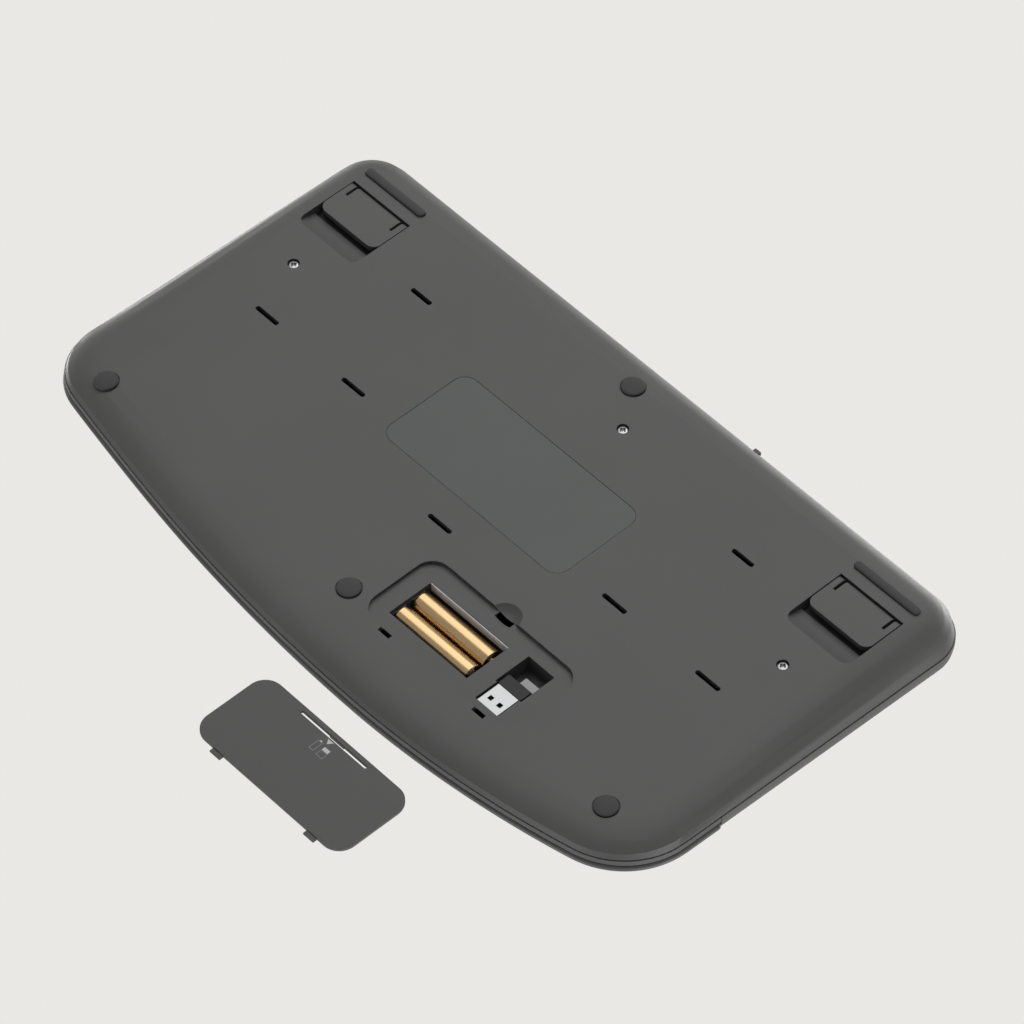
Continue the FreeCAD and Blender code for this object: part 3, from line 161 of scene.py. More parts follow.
def moulded(name, colour, shade, roughness, grain_mm, grain_height_mm, specular=0.3, printed=None):
    """Matt plastic: base colour and a close second shade mixed by slow noise, and a fine grain.
    Where the function printed gives 1, pale ink covers it."""
    material, tree = blank_material(name)
    place = add(tree, "TexCoord", {}, {}).outputs["Object"]
    slow = add(tree, "TexNoise", {}, {"Vector": place, "Scale": 1 / (CLOUD_MM * MM), "Detail": 2.0})
    fine = add(tree, "TexNoise", {}, {"Vector": place, "Scale": 1 / (grain_mm * MM), "Detail": 3.0})
    blended = add(tree, "Math", {"operation": "MULTIPLY_ADD"},
                  {0: fine.outputs["Fac"], 1: GRAIN_SHARE, 2: 0.0})
    both = add(tree, "Math", {"operation": "MULTIPLY_ADD"},
               {0: slow.outputs["Fac"], 1: CLOUD_SHARE, 2: blended.outputs["Value"]})
    tone = ramp(tree, both.outputs["Value"], [(TONE_LOW, colour), (TONE_HIGH, shade)])
    if printed:
        inked = add(tree, "Mix", {"data_type": "RGBA"}, {"Factor": printed(tree, place)})
        tree.links.new(tone, inked.inputs[6])
        inked.inputs[7].default_value = linear(INK)
        tone = inked.outputs[2]
    rough = add(tree, "MapRange", {}, {"Value": fine.outputs["Fac"], "From Min": TONE_LOW,
                                       "From Max": TONE_HIGH, "To Min": roughness - PLASTIC_SPREAD,
                                       "To Max": roughness + PLASTIC_SPREAD})
    bump = add(tree, "Bump", {}, {"Strength": 1.0, "Distance": grain_height_mm * MM,
                                  "Height": fine.outputs["Fac"]})
    shader = add(tree, "BsdfPrincipled", {}, {
        "Base Color": tone, "Roughness": rough.outputs["Result"], "IOR": 1.53,
        "Specular IOR Level": specular, "Normal": bump.outputs["Normal"]})
    surface(tree, shader.outputs["BSDF"])
    return material


graphite_abs = moulded("ABS_graphite_spark_eroded", "#434343", "#474747", 0.55, 0.45, 0.012)
inner_abs = moulded("ABS_black_key_frame", "#1c1d1e", "#212223", 0.5, 0.6, 0.01)
key_abs = moulded("ABS_graphite_keycap", "#363637", "#3a3a3b", 0.5, 0.4, 0.008)
foot_rubber = moulded("Silicone_rubber_foot", "#3b3b3b", "#404040", 0.7, 0.6, 0.02, 0.2)
dome_rubber = moulded("Silicone_rubber_dome", "#8e9296", "#9a9ea2", 0.5, 0.8, 0.01)
film = moulded("Polyester_printed_membrane", "#6f7f86", "#7b8a90", 0.3, 2.0, 0.002, 0.5)
pale_abs = moulded("ABS_pale_grey_insert", "#8f9092", "#97989a", 0.45, 0.5, 0.01, 0.3)
strip_backing = moulded("Polyester_white_contact_backing", "#dfe3ee", "#e8ebf4", 0.5, 0.6, 0.006)
receiver_abs = moulded("ABS_grey_receiver_body", "#2b2b2c", "#303031", 0.55, 0.4, 0.01, 0.15)
label_film = moulded("Polycarbonate_label_bare", "#3f4341", "#434745", 0.5, 0.9, 0.004, 0.3)
board_fibre = moulded("Solder_mask_green_board", "#1d4a35", "#23553e", 0.35, 0.8, 0.01, 0.5)
print("plastics and rubbers ready")

# %% [markdown]
# ## Marks on the battery cover
# The cover tells what lies under it in three plain pictures: an arrowhead at the latch, a cell and
# a receiver. Each is a formula over the cover's outer face, in millimetres about the middle of the
# case: the distance to a box is the larger of the distances to its sides, below zero inside.

# %% The cover's plastic with its marks
CASE_MIDDLE_Y = 31.475
ARROW_AT, ARROW_HALF, ARROW_TALL = (-56.2, -133.2), 1.7, 2.3
CELL_MARK_AT, CELL_MARK_HALF = (-53.5, -139.2), (1.2, 2.6)
NUB_MARK_AT, NUB_MARK_HALF = (-53.5, -136.1), (0.5, 0.3)
BODY_MARK_AT, BODY_MARK_HALF = (-58.6, -140.6), (1.8, 1.5)
PLUG_MARK_AT, PLUG_MARK_HALF = (-58.5, -137.9), (1.7, 0.9)
MARK_LINE, MARK_DEEP = 0.3, 0.4
LINE_INK = 0.28
INK = "#bcbdbe"


def calc(tree, operation, *values):
    """Output of a Math node."""
    return add(tree, "Math", {"operation": operation}, dict(enumerate(values))).outputs["Value"]


def box_distance(tree, x, y, at, half):
    """Larger of |x - centre| - half width and |y - centre| - half height."""
    sides = []
    for value, centre, reach in ((x, at[0], half[0]), (y, at[1], half[1])):
        away = calc(tree, "ABSOLUTE", calc(tree, "SUBTRACT", value, centre))
        sides.append(calc(tree, "SUBTRACT", away, reach))
    return calc(tree, "MAXIMUM", *sides)


def cover_marks(tree, place):
    """How much ink: 1 where a filled mark's distance is below 0, and thin ink on the lines where
    a distance is nearly 0."""
    parts = add(tree, "SeparateXYZ", {}, {"Vector": place}).outputs
    x, z = calc(tree, "DIVIDE", parts["X"], MM), calc(tree, "DIVIDE", parts["Z"], MM)
    y = calc(tree, "SUBTRACT", calc(tree, "DIVIDE", parts["Y"], MM), CASE_MIDDLE_Y)
    across = calc(tree, "ABSOLUTE", calc(tree, "SUBTRACT", x, ARROW_AT[0]))
    low = calc(tree, "SUBTRACT", calc(tree, "MULTIPLY", across, ARROW_TALL / ARROW_HALF),
               calc(tree, "SUBTRACT", y, ARROW_AT[1] - ARROW_TALL))
    arrow = calc(tree, "MAXIMUM", low, calc(tree, "SUBTRACT", y, ARROW_AT[1]))
    marks = calc(tree, "LESS_THAN", arrow, 0.0)
    for at, half in ((NUB_MARK_AT, NUB_MARK_HALF), (PLUG_MARK_AT, PLUG_MARK_HALF)):
        filled_in = calc(tree, "LESS_THAN", box_distance(tree, x, y, at, half), 0.0)
        marks = calc(tree, "MAXIMUM", marks, filled_in)
    for at, half in ((CELL_MARK_AT, CELL_MARK_HALF), (BODY_MARK_AT, BODY_MARK_HALF)):
        line = calc(tree, "ABSOLUTE", box_distance(tree, x, y, at, half))
        thin = calc(tree, "MULTIPLY", calc(tree, "LESS_THAN", line, MARK_LINE / 2), LINE_INK)
        marks = calc(tree, "MAXIMUM", marks, thin)
    return calc(tree, "MULTIPLY", marks, calc(tree, "LESS_THAN", z, MARK_DEEP))


cover_abs = moulded("ABS_graphite_cover", "#404040", "#444444", 0.55, 0.45, 0.012, printed=cover_marks)
print("marks drawn")

# %% [markdown]
# ## Metals
# The screws and the plug are nickel plated steel, the contacts are nickel too, and the cells have
# a printed metal foil jacket in gold. A metal keeps its default index, its colour is what it
# reflects, and fine lines along its making give it a direction.


# %% A recipe for plated and drawn metal
METAL_SPREAD, LACQUER_ROUGHNESS = 0.04, 0.12


def plated(name, colour, shade, roughness, line_mm, stretch, line_height_mm, lacquer=0.0):
    """Metal with fine lines: noise whose grain is stretched along one axis, under clear lacquer."""
    material, tree = blank_material(name)
    place = add(tree, "TexCoord", {}, {}).outputs["Object"]
    turned = add(tree, "Mapping", {}, {"Vector": place, "Scale": stretch})
    lines = add(tree, "TexNoise", {}, {"Vector": turned.outputs["Vector"],
                                       "Scale": 1 / (line_mm * MM), "Detail": 2.0})
    tone = ramp(tree, lines.outputs["Fac"], [(TONE_LOW, colour), (TONE_HIGH, shade)])
    rough = add(tree, "MapRange", {}, {"Value": lines.outputs["Fac"], "From Min": TONE_LOW,
                                       "From Max": TONE_HIGH, "To Min": roughness - METAL_SPREAD,
                                       "To Max": roughness + METAL_SPREAD})
    bump = add(tree, "Bump", {}, {"Strength": 1.0, "Distance": line_height_mm * MM,
                                  "Height": lines.outputs["Fac"]})
    shader = add(tree, "BsdfPrincipled", {}, {
        "Base Color": tone, "Metallic": 1.0, "Roughness": rough.outputs["Result"],
        "Coat Weight": lacquer, "Coat Roughness": LACQUER_ROUGHNESS, "Normal": bump.outputs["Normal"]})
    surface(tree, shader.outputs["BSDF"])
    return material


nickel = plated("Nickel_plated_steel", "#8d8e8f", "#979899", 0.36, 0.5, (1.0, 1.0, 1.0), 0.001)
plug_steel = plated("Nickel_plug_shell", "#858687", "#8d8e8f", 0.4, 0.8, (1.0, 0.1, 1.0), 0.0004)
plate_steel = plated("Zinc_plated_sheet", "#9a9da0", "#a8abad", 0.35, 0.9, (0.2, 1.0, 1.0), 0.004)
gold_foil = plated("Gold_foil_jacket", "#98805c", "#a08763", 0.24, 1.2, (0.1, 1.0, 1.0), 0.0001, 0.2)
print("metals ready")

# %% [markdown]
# ## The battery seat
# The two tabs of the cover hook into slots at the front of its seat, open to below. The scoop for
# a fingertip behind it is part of a sphere, and a thin shell of the same sphere closes it where it
# goes deeper than the floor is thick: z is the sphere's centre plus the root of R^2 - x^2 - y^2.

# %% Slots for the tabs and the floor of the scoop
TAB_SLOTS_X, TAB_SLOT_HALF = (-27.9, -85.5), 3.38
TAB_SLOT_BACK, TAB_SLOT_FRONT = -76.42, -79.48
SLOT_LOW, SLOT_HIGH = 0.9, 5.2
SCOOP_AT, SCOOP_R, SCOOP_BOTTOM = (-55.6, -36.2), 11.0, 4.3
SHELL_REACH, SHELL_BACK, SHELL_THICK, SHELL_UNDER = 5.3, 1.5, 0.9, 0.02
SHELL_ARC_POINTS, SHELL_LINE_POINTS, SHELL_RINGS, SHELL_START = 25, 18, 10, 0.03
BOX_FACES = ((0, 1, 3, 2), (4, 6, 7, 5), (0, 4, 5, 1), (2, 3, 7, 6), (0, 2, 6, 4), (1, 5, 7, 3))


def ring_faces(rings, around):
    """Quads between neighbouring closed rings. They face outwards where the rings rise."""
    i, j = np.meshgrid(np.arange(rings - 1), np.arange(around), indexing="ij")
    k = (j + 1) % around
    quads = np.stack([i * around + j, i * around + k, (i + 1) * around + k, (i + 1) * around + j], -1)
    return quads.reshape(-1, 4).tolist()


def closed_faces(rings, around):
    """Ring quads, and one flat face at each end."""
    last = (rings - 1) * around
    ends = [list(range(around))[::-1], list(range(last, last + around))]
    return ring_faces(rings, around) + ends


def opened(mesh, boxes):
    """The mesh with boxes cut out of it. A box is its low and its high corner in millimetres."""
    unit = np.array([(x, y, z) for x in (0, 1) for y in (0, 1) for z in (0, 1)])
    points = np.concatenate([low + unit * (np.array(high) - low) for low, high in boxes])
    faces = [[v + 8 * i for v in face] for i in range(len(boxes)) for face in BOX_FACES]
    tool_mesh = bpy.data.meshes.new("tool")
    tool_mesh.from_pydata(((points + (0.0, CASE_MIDDLE_Y, 0.0)) * MM).tolist(), [], faces)
    tool, piece = (bpy.data.objects.new("tool", data) for data in (tool_mesh, mesh))
    for thing in (tool, piece):
        bpy.context.scene.collection.objects.link(thing)
    cut = piece.modifiers.new("openings", "BOOLEAN")
    cut.operation, cut.solver, cut.object = "DIFFERENCE", "EXACT", tool
    shape = piece.evaluated_get(bpy.context.evaluated_depsgraph_get())
    result = bpy.data.meshes.new_from_object(shape)
    for thing in (tool, piece):
        bpy.data.objects.remove(thing)
    return result


def scoop_shell():
    """Half disc of the sphere behind the latch hole: rings from its middle to its rim, and back
    on the side that faces into the case."""
    angle = np.linspace(0, np.pi, SHELL_ARC_POINTS)
    arc_y = np.maximum(SHELL_REACH * np.sin(angle), SHELL_BACK)
    arc = np.stack([SHELL_REACH * np.cos(angle), arc_y], -1)
    line = np.linspace(-SHELL_REACH, SHELL_REACH, SHELL_LINE_POINTS)[1:-1]
    rim = np.concatenate([arc, np.stack([line, np.full(len(line), SHELL_BACK)], -1)])
    middle = np.array([0.0, (SHELL_REACH + SHELL_BACK) / 2])
    size = np.linspace(SHELL_START, 1, SHELL_RINGS)
    flat = middle + (rim - middle) * np.concatenate([size, size[::-1]])[:, None, None]
    z = SCOOP_BOTTOM - SCOOP_R + np.sqrt(SCOOP_R ** 2 - (flat ** 2).sum(-1)) + SHELL_UNDER
    z[len(size):] += SHELL_THICK
    points = np.concatenate([flat + SCOOP_AT, z[..., None]], -1)
    mesh = bpy.data.meshes.new("shell")
    points = (points.reshape(-1, 3) + (0.0, CASE_MIDDLE_Y, 0.0)) * MM
    mesh.from_pydata(points.tolist(), [], closed_faces(2 * len(size), len(rim)))
    return mesh


TAB_SLOTS = [((x - TAB_SLOT_HALF, TAB_SLOT_FRONT, SLOT_LOW),
              (x + TAB_SLOT_HALF, TAB_SLOT_BACK, SLOT_HIGH)) for x in TAB_SLOTS_X]
print(len(TAB_SLOTS), "slots to cut")

# %% [markdown]
# ## Edges as the mould leaves them
# No moulded edge is sharp. The construction model's pieces come as loose triangles with sharp
# edges, so a copy of each is merged, its flat faces are joined, and a bevel of a fraction of a
# millimetre rounds the edges that turn by more than a third of a right angle. Everything flatter
# is shaded as one smooth surface. The copy then stands for the piece.

# %% A softened copy of a construction piece
SHARP, FLAT = math.radians(31.0), math.radians(0.4)
JOIN_MM, EDGE_STEPS = 0.002, 2


def softened(node, material, edge_mm, slot, openings=(), shell=None):
    """Copy of a node with merged points, joined flat faces and small rounded edges. Boxes are cut
    out of it first, and a shell is added."""
    source = frame["nodes"][node]
    mesh = source.data.copy()
    mesh.materials.clear()
    mesh.materials.append(material)
    bm = bmesh.new()
    bm.from_mesh(mesh)
    bmesh.ops.remove_doubles(bm, verts=bm.verts, dist=JOIN_MM * MM)
    if openings:
        bm.to_mesh(mesh)
        bm.clear()
        bm.from_mesh(opened(mesh, openings))
    if shell:
        bm.from_mesh(shell)
    bmesh.ops.dissolve_limit(bm, angle_limit=FLAT, verts=bm.verts, edges=bm.edges)
    for face in bm.faces:
        face.smooth = True
    for edge in bm.edges:
        edge.smooth = len(edge.link_faces) == 2 and edge.calc_face_angle(0.0) < SHARP
    bm.to_mesh(mesh)
    bm.free()
    piece = bpy.data.objects.new(node + "_shown", mesh)
    bpy.context.scene.collection.objects.link(piece)
    if edge_mm:
        bevel = piece.modifiers.new("moulded edge", "BEVEL")
        bevel.limit_method = "ANGLE"
        bevel.angle_limit = SHARP
        bevel.width = edge_mm * MM
        bevel.segments = EDGE_STEPS
        bevel.use_clamp_overlap = True
        bevel.harden_normals = True
    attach(piece, source["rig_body"])
    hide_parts(node)
    return piece


SOFTENED = (
    ("bottom_case", graphite_abs, 0.25, "case"),
    ("top_case", graphite_abs, 0.25, "case"),
    ("palm_rest_carrier", graphite_abs, 0.25, "case"),
    ("battery_cover", cover_abs, 0.2, "case"),
    ("tilt_leg_right", graphite_abs, 0.25, "case"),
    ("tilt_leg_left", graphite_abs, 0.25, "case"),
    ("key_frame", inner_abs, 0.0, "frame"),
    ("label_plate", label_film, 0.12, "label"),
    ("battery_back", gold_foil, 0.3, "cell"),
    ("battery_front", gold_foil, 0.3, "cell"),
    ("battery_contacts", nickel, 0.0, "nickel"),
    ("contact_strip", strip_backing, 0.05, "nickel"),
    ("receiver_plug", plug_steel, 0.1, "plug_shell"),
    ("receiver_body", receiver_abs, 0.3, "receiver"),
    ("receiver_stop", pale_abs, 0.2, "pale_plastic"),
    ("switch_slider", graphite_abs, 0.2, "case"),
)
for node, material, edge_mm, slot in SOFTENED:
    extra = (TAB_SLOTS, scoop_shell()) if node == "bottom_case" else ()
    softened(node, material, edge_mm, slot, *extra)
print(len(SOFTENED), "pieces with softened edges")

# %% [markdown]
# ## Pieces inside
# The dome sheet, membrane, steel plate and circuit board can be seen only through gaps, so they
# stay as the construction model has them, and get the finish of the real ones.

# %% Materials on the construction model's own pieces
INSIDE = {
    "dome_sheet": dome_rubber,
    "membrane": film,
    "support_plate": plate_steel,
    "circuit_board": board_fibre,
    "radio_shield": nickel,
    "switch_body": inner_abs,
}
for name, material in INSIDE.items():
    node = frame["nodes"][name]
    node.data.materials.clear()
    node.data.materials.append(material)
print(len(INSIDE), "pieces painted as they are")

# %% [markdown]
# ## Surfaces worked out on a grid
# Keys, palm cushion and other rounded pieces are closed rings of points, one ring above or
# inside the other. A ring of the case's own outline is ten arcs and lines that keep their centres
# when it moves inwards, so all rings run side by side. Sizes are millimetres, drawn about the
# middle of the case, and one function moves them to their place in metres.

# %% Rings and meshes
HALF_WIDTH, HALF_DEPTH = 187.85, 109.45
SEAM_HEIGHT, SEAM_SLOPE = 11.8, 0.049


def seam(y):
    """Height of the parting plane: its height at the middle, plus slope times y."""
    return SEAM_HEIGHT + SEAM_SLOPE * y


def piece_from(name, points, faces, material, body, slot):
    """Mesh object of points in millimetres about the case's middle, riding on a body."""
    mesh = bpy.data.meshes.new(name)
    moved = (points + (0.0, CASE_MIDDLE_Y, 0.0)) * MM
    mesh.from_pydata(moved.tolist(), [], faces)
    mesh.materials.append(material)
    mesh.polygons.foreach_set("use_smooth", np.ones(len(faces), bool))
    piece = bpy.data.objects.new(name, mesh)
    bpy.context.scene.collection.objects.link(piece)
    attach(piece, body)
    return piece


def rounded_ring(half_x, half_y, radius, corner_points=5, side_points=3):
    """Rounded rectangles, one per entry: corner centres plus radius times (cos, sin), and
    points on the straight runs by blending the ends of neighbouring arcs."""
    half_x, half_y, radius = np.broadcast_arrays(*map(np.atleast_1d, (half_x, half_y, radius)))
    turn = np.linspace(0, np.pi / 2, corner_points)
    share = np.arange(1, side_points + 1) / (side_points + 1)
    corners = []
    for quarter, (sx, sy) in enumerate([(1, 1), (-1, 1), (-1, -1), (1, -1)]):
        angle = turn + quarter * np.pi / 2
        centre = np.stack([sx * (half_x - radius), sy * (half_y - radius)], -1)[:, None]
        corners.append(centre + radius[:, None, None] * np.stack([np.cos(angle), np.sin(angle)], -1))
    parts = []
    for quarter in range(4):
        start, end = corners[quarter][:, -1:], corners[(quarter + 1) % 4][:, :1]
        parts += [corners[quarter], start + (end - start) * share[:, None]]
    return np.concatenate(parts, 1)


def merged(piece, distance_mm):
    """Join the points of a piece that lie together."""
    bm = bmesh.new()
    bm.from_mesh(piece.data)
    bmesh.ops.remove_doubles(bm, verts=bm.verts, dist=distance_mm * MM)
    bm.to_mesh(piece.data)
    bm.free()


def repeated(rings, places):
    """The same rings at several places: all points in one list, and the faces of each copy."""
    points = np.concatenate([(rings + (x, y, 0.0)).reshape(-1, 3) for x, y in places])
    size = rings.shape[0] * rings.shape[1]
    one = closed_faces(*rings.shape[:2])
    return points, [[v + i * size for v in face] for i in range(len(places)) for face in one]

# %% [markdown]
# ## Rubber feet and screws
# A foot is pressed into a shallow ring in the underside, and its face is a low dome, a quarter of
# an ellipse turned about its axis. The strips behind the legs are the same profile drawn along a
# line. A screw has a pan head, and its cross is a field of heights: the head sinks where both the
# smaller of |x| and |y| and the larger of them are within the arms, and towards its middle, where
# the arms' slopes meet in a cone.

# %% Feet, strips and screws
FOOT_SPOTS = ((-156.4, -73.2), (156.4, -73.2), (0.0, -73.4), (0.0, 89.2))
FOOT_R, FOOT_DOME, FOOT_TOP = 5.35, 0.95, 2.3
STRIP_SPOTS = ((153.05, 90.2), (-153.05, 90.2))
STRIP_HALF_X, STRIP_HALF_Y, STRIP_DOME, STRIP_ROUND = 18.65, 2.2, 0.8, 0.98
SCREW_SPOTS = ((-152.5, 30.2), (152.5, 30.2), (-14.1, 69.8))
HEAD_R, HEAD_LOW, HEAD_TOP, HEAD_CROWN = 2.3, 2.05, 3.3, 0.45
HEAD_FROM, HEAD_EDGE, HEAD_RINGS = 0.04, 0.2, 30
CROSS_HALF, CROSS_ARM, CROSS_DEEP, CROSS_EDGE = 0.42, 1.4, 1.3, 0.12
WELL_R, WELL_EDGE = 0.95, 0.5
SHANK_R = 1.1
SCREW_END = -0.5
AROUND = 56

dome = np.radians(np.linspace(4, 90, 12))
circle = np.linspace(0, 2 * np.pi, AROUND, endpoint=False)


def turned(radius, height):
    """Rings of a turned piece: radius times (cos, sin) at each height."""
    x, y = radius[:, None] * np.cos(circle), radius[:, None] * np.sin(circle)
    return np.stack([x, y, np.broadcast_to(height[:, None], x.shape)], -1)


foot_height = np.append(FOOT_DOME * (1 - np.cos(dome)), FOOT_TOP)
foot = turned(np.append(FOOT_R * np.sin(dome), FOOT_R), foot_height)
feet = piece_from("round_feet_shown", *repeated(foot, FOOT_SPOTS), foot_rubber, "case", "foot_rubber")
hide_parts("round_feet")

inset = STRIP_HALF_Y * (1 - np.append(np.sin(dome), 1.0))
plan = rounded_ring(STRIP_HALF_X - inset, STRIP_HALF_Y - inset, STRIP_ROUND * (STRIP_HALF_Y - inset), 9, 1)
height = np.append(STRIP_DOME * (1 - np.cos(dome)), FOOT_TOP)[:, None] * np.ones(plan.shape[1])
strip = np.concatenate([plan, height[..., None]], -1)
strips = piece_from("foot_strips_shown", *repeated(strip, STRIP_SPOTS), foot_rubber, "case", "foot_rubber")
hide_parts("foot_strips")


def screw(x, y):
    """Rings of one screw: the head's face with its cross, the head's side, and the shank."""
    face = np.linspace(HEAD_FROM, HEAD_R - HEAD_EDGE, HEAD_RINGS)
    reach = np.concatenate([face, [HEAD_R, HEAD_R, SHANK_R, SHANK_R]])
    flat = turned(reach, np.zeros(len(reach)))
    ax, ay = np.abs(flat[..., 0]), np.abs(flat[..., 1])
    inside = (np.clip((CROSS_HALF - np.minimum(ax, ay)) / CROSS_EDGE + 0.5, 0, 1)
              * np.clip((CROSS_ARM - np.maximum(ax, ay)) / CROSS_EDGE + 0.5, 0, 1))
    inside = np.maximum(inside, np.clip((WELL_R - reach[:, None]) / WELL_EDGE + 0.5, 0, 1))
    z = HEAD_LOW + HEAD_CROWN * (reach[:, None] / HEAD_R) ** 2 + CROSS_DEEP * inside
    z[-3:-1] = HEAD_TOP
    z[-1] = seam(y) + SCREW_END
    flat[..., 2] = z
    return flat + (x, y, 0.0)


screws = np.concatenate([screw(x, y) for x, y in SCREW_SPOTS])
each = len(screws) // len(SCREW_SPOTS)
faces = [[v + i * each * AROUND for v in face] for i in range(len(SCREW_SPOTS))
         for face in closed_faces(each, AROUND)]
piece = piece_from("screws_shown", screws.reshape(-1, 3), faces, nickel, "case", "screw")
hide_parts("screws")
print("feet, strips and screws ready")

# %% [markdown]
# ## Keys
# Each cap is moulded with drafted sides, rounded edges and a top that is hollowed along the
# finger, while long bars are slightly crowned. The profile of a ring goes up inside the skirt,
# round its lower edge, up the side, over a rounded edge and across the dished top to the middle.
# The legends are the plain letters and numbers that any keyboard has, printed pale.

# %% Key layout, in units of the key pitch
UNIT = 19.05
KEY_GAP = 1.05
KEYS_LEFT, KEYS_FRONT = -9.5 * UNIT, -29.0
FUNCTION_ROW, FUNCTION_ROW_GAP = 5, 4.0
PAD = 15.0
CAP_LOW, CAP_HEIGHT, CAP_WALL = 4.9, 7.4, 1.2
SIDE_DRAFT, FRONT_DRAFT = 1.7, 1.5
DISH, CROWN, LONG_CAP = 0.5, 0.3, 36.0
CAP_EDGE, TOP_OUT, TOP_IN = 0.7, 0.15, 0.55
ROOF_IN, ROOF_THICK, SKIRT_EDGE = 1.2, 1.9, 0.25
LETTER_SIZE, WORD_SIZE = 4.6, 2.9
LEGEND_SIDE, LEGEND_DROP, LEGEND_PROUD = 2.2, 5.6, 0.025
WAVE_RISE, WAVE_X, WAVE_REACH = 2.3, -38.1, 78.0
DECK_TILT = math.atan(SEAM_SLOPE)

LAYOUT = {
    "key_escape": (0, 1, 5, 1, "Esc"),
    "keys_function_left": (1, 1, 5, 1, "F1 F2 F3 F4 F5 F6"),
    "keys_function_right": (7, 1, 5, 1, "F7 F8 F9 F10 F11 F12 Ins Del"),
    "keys_navigation": (PAD, 1, 5, 1, "Home End PgUp PgDn"),
    "keys_number_left": (0, 1, 4, 1, "` 1 2 3 4 5"),
    "keys_number_right": (6, 1, 4, 1, "6 7 8 9 0 - ="),
    "key_backspace": (13, 2, 4, 1, "Backspace"),
    "key_tab": (0, 1.5, 3, 1, "Tab"),
    "keys_top_left": (1.5, 1, 3, 1, "Q W E R T"),
    "keys_top_right": (6.5, 1, 3, 1, "Y U I O P [ ]"),
    "key_backslash": (13.5, 1.5, 3, 1, "\\"),
    "key_caps_lock": (0, 1.75, 2, 1, "Caps"),
    "keys_home_left": (1.75, 1, 2, 1, "A S D F G"),
    "keys_home_right": (6.75, 1, 2, 1, "H J K L ; '"),
    "key_enter": (12.75, 2.25, 2, 1, "Enter"),
    "key_shift_left": (0, 2.25, 1, 1, "Shift"),
    "keys_bottom_left": (2.25, 1, 1, 1, "Z X C V B"),
    "keys_bottom_right": (7.25, 1, 1, 1, "N M , . /"),
    "key_shift_right": (12.25, 1.75, 1, 1, "Shift"),
    "key_up": (14, 1, 1, 1, "^"),
    "keys_modifier_left": (0, 1.125, 0, 1, "Ctrl Fn Menu Alt"),
    "key_space": (4.5, 5.25, 0, 1, ""),
    "keys_modifier_right": (9.75, 1.083, 0, 1, "Alt Menu Ctrl"),
    "key_left": (13, 1, 0, 1, "<"),
    "key_down": (14, 1, 0, 1, "v"),
    "key_right": (PAD, 1, 0, 1, ">"),
    "keys_pad_operators": (PAD, 1, 4, 1, "Num / * -"),
    "keys_pad_top": (PAD, 1, 3, 1, "7 8 9"),
    "keys_pad_middle": (PAD, 1, 2, 1, "4 5 6"),
    "keys_pad_bottom": (PAD, 1, 1, 1, "1 2 3"),
    "keys_pad_zero": (PAD + 1, 1, 0, 1, "0 ."),
    "key_pad_plus": (PAD + 3, 1, 2, 2, "+"),
    "key_pad_enter": (PAD + 3, 1, 0, 2, "Enter"),
}


def wave(x):
    """Rise of the deck: a squared cosine of the distance from the wave's middle."""
    reach = np.clip(np.abs(x - WAVE_X) / WAVE_REACH, 0, 1)
    return WAVE_RISE * np.cos(reach * np.pi / 2) ** 2


def on_deck(points):
    """Turn points about X by the deck's tilt, and lift them to the seam plane."""
    x, y, w = points[..., 0], points[..., 1], points[..., 2]
    c, s = math.cos(DECK_TILT), math.sin(DECK_TILT)
    return np.stack([x, c * y - s * w, SEAM_HEIGHT + s * y + c * w], -1)


def dish(x, y, half_x, half_y, width):
    """Depth of the cap's top: a parabola across the finger, or a low crown on a long bar."""
    if width > LONG_CAP:
        return CROWN * (1 - np.clip(y / half_y, -1, 1) ** 2)
    return -DISH * (1 - np.clip(x / half_x, -1, 1) ** 2)


def cap_points(x, y, width, depth):
    """Rings of one cap. Its half sizes, corner radius and height follow the profile's stops."""
    hx, hy = width / 2, depth / 2
    tx, ty = hx - SIDE_DRAFT, hy - FRONT_DRAFT
    high = CAP_HEIGHT
    edge = np.radians([0, 30, 60, 90])
    inward, drop = CAP_EDGE * (1 - np.cos(edge)), CAP_EDGE * (1 - np.sin(edge))
    shares = np.array([0.8, 0.5, 0.2])
    rx, ry = (np.concatenate([[t - ROOF_IN, h - CAP_WALL, h - SKIRT_EDGE, h], t + TOP_OUT - inward,
                              (t - TOP_IN) * shares]) for t, h in ((tx, hx), (ty, hy)))
    w = np.concatenate([[high - ROOF_THICK, 0, 0, SKIRT_EDGE], high - drop, [high] * 3])
    r = np.concatenate([[0.6, 0.6, 1.3, 1.5], [2.4, 2.3, 2.1, 1.9], 1.6 * shares])
    plan = rounded_ring(rx, ry, r)
    top = np.arange(len(w)) >= 7
    low = np.where(top[:, None], dish(plan[..., 0], plan[..., 1], tx, ty, width), 0.0)
    z = w[:, None] + low + CAP_LOW + wave(x)
    return np.concatenate([plan + (x, y), z[..., None]], -1)


def legend(word, x, y, width, depth, curve):
    """A printed word as a flat mesh that follows the dished top, a fortieth of a mm above it."""
    curve.data.body = word
    curve.data.size = LETTER_SIZE if len(word) == 1 else WORD_SIZE
    bpy.context.view_layer.update()
    mesh = bpy.data.meshes.new_from_object(curve.evaluated_get(bpy.context.evaluated_depsgraph_get()))
    flat = np.zeros(len(mesh.vertices) * 3)
    mesh.vertices.foreach_get("co", flat)
    flat = flat.reshape(-1, 3)
    faces = [list(polygon.vertices) for polygon in mesh.polygons]
    bpy.data.meshes.remove(mesh)
    half_x, half_y = width / 2 - SIDE_DRAFT, depth / 2 - FRONT_DRAFT
    px = flat[:, 0] - half_x + LEGEND_SIDE
    py = flat[:, 1] + half_y - LEGEND_DROP
    z = CAP_LOW + wave(x) + CAP_HEIGHT + dish(px, py, half_x, half_y, width) + LEGEND_PROUD
    return np.stack([px + x, py + y, z], -1), faces


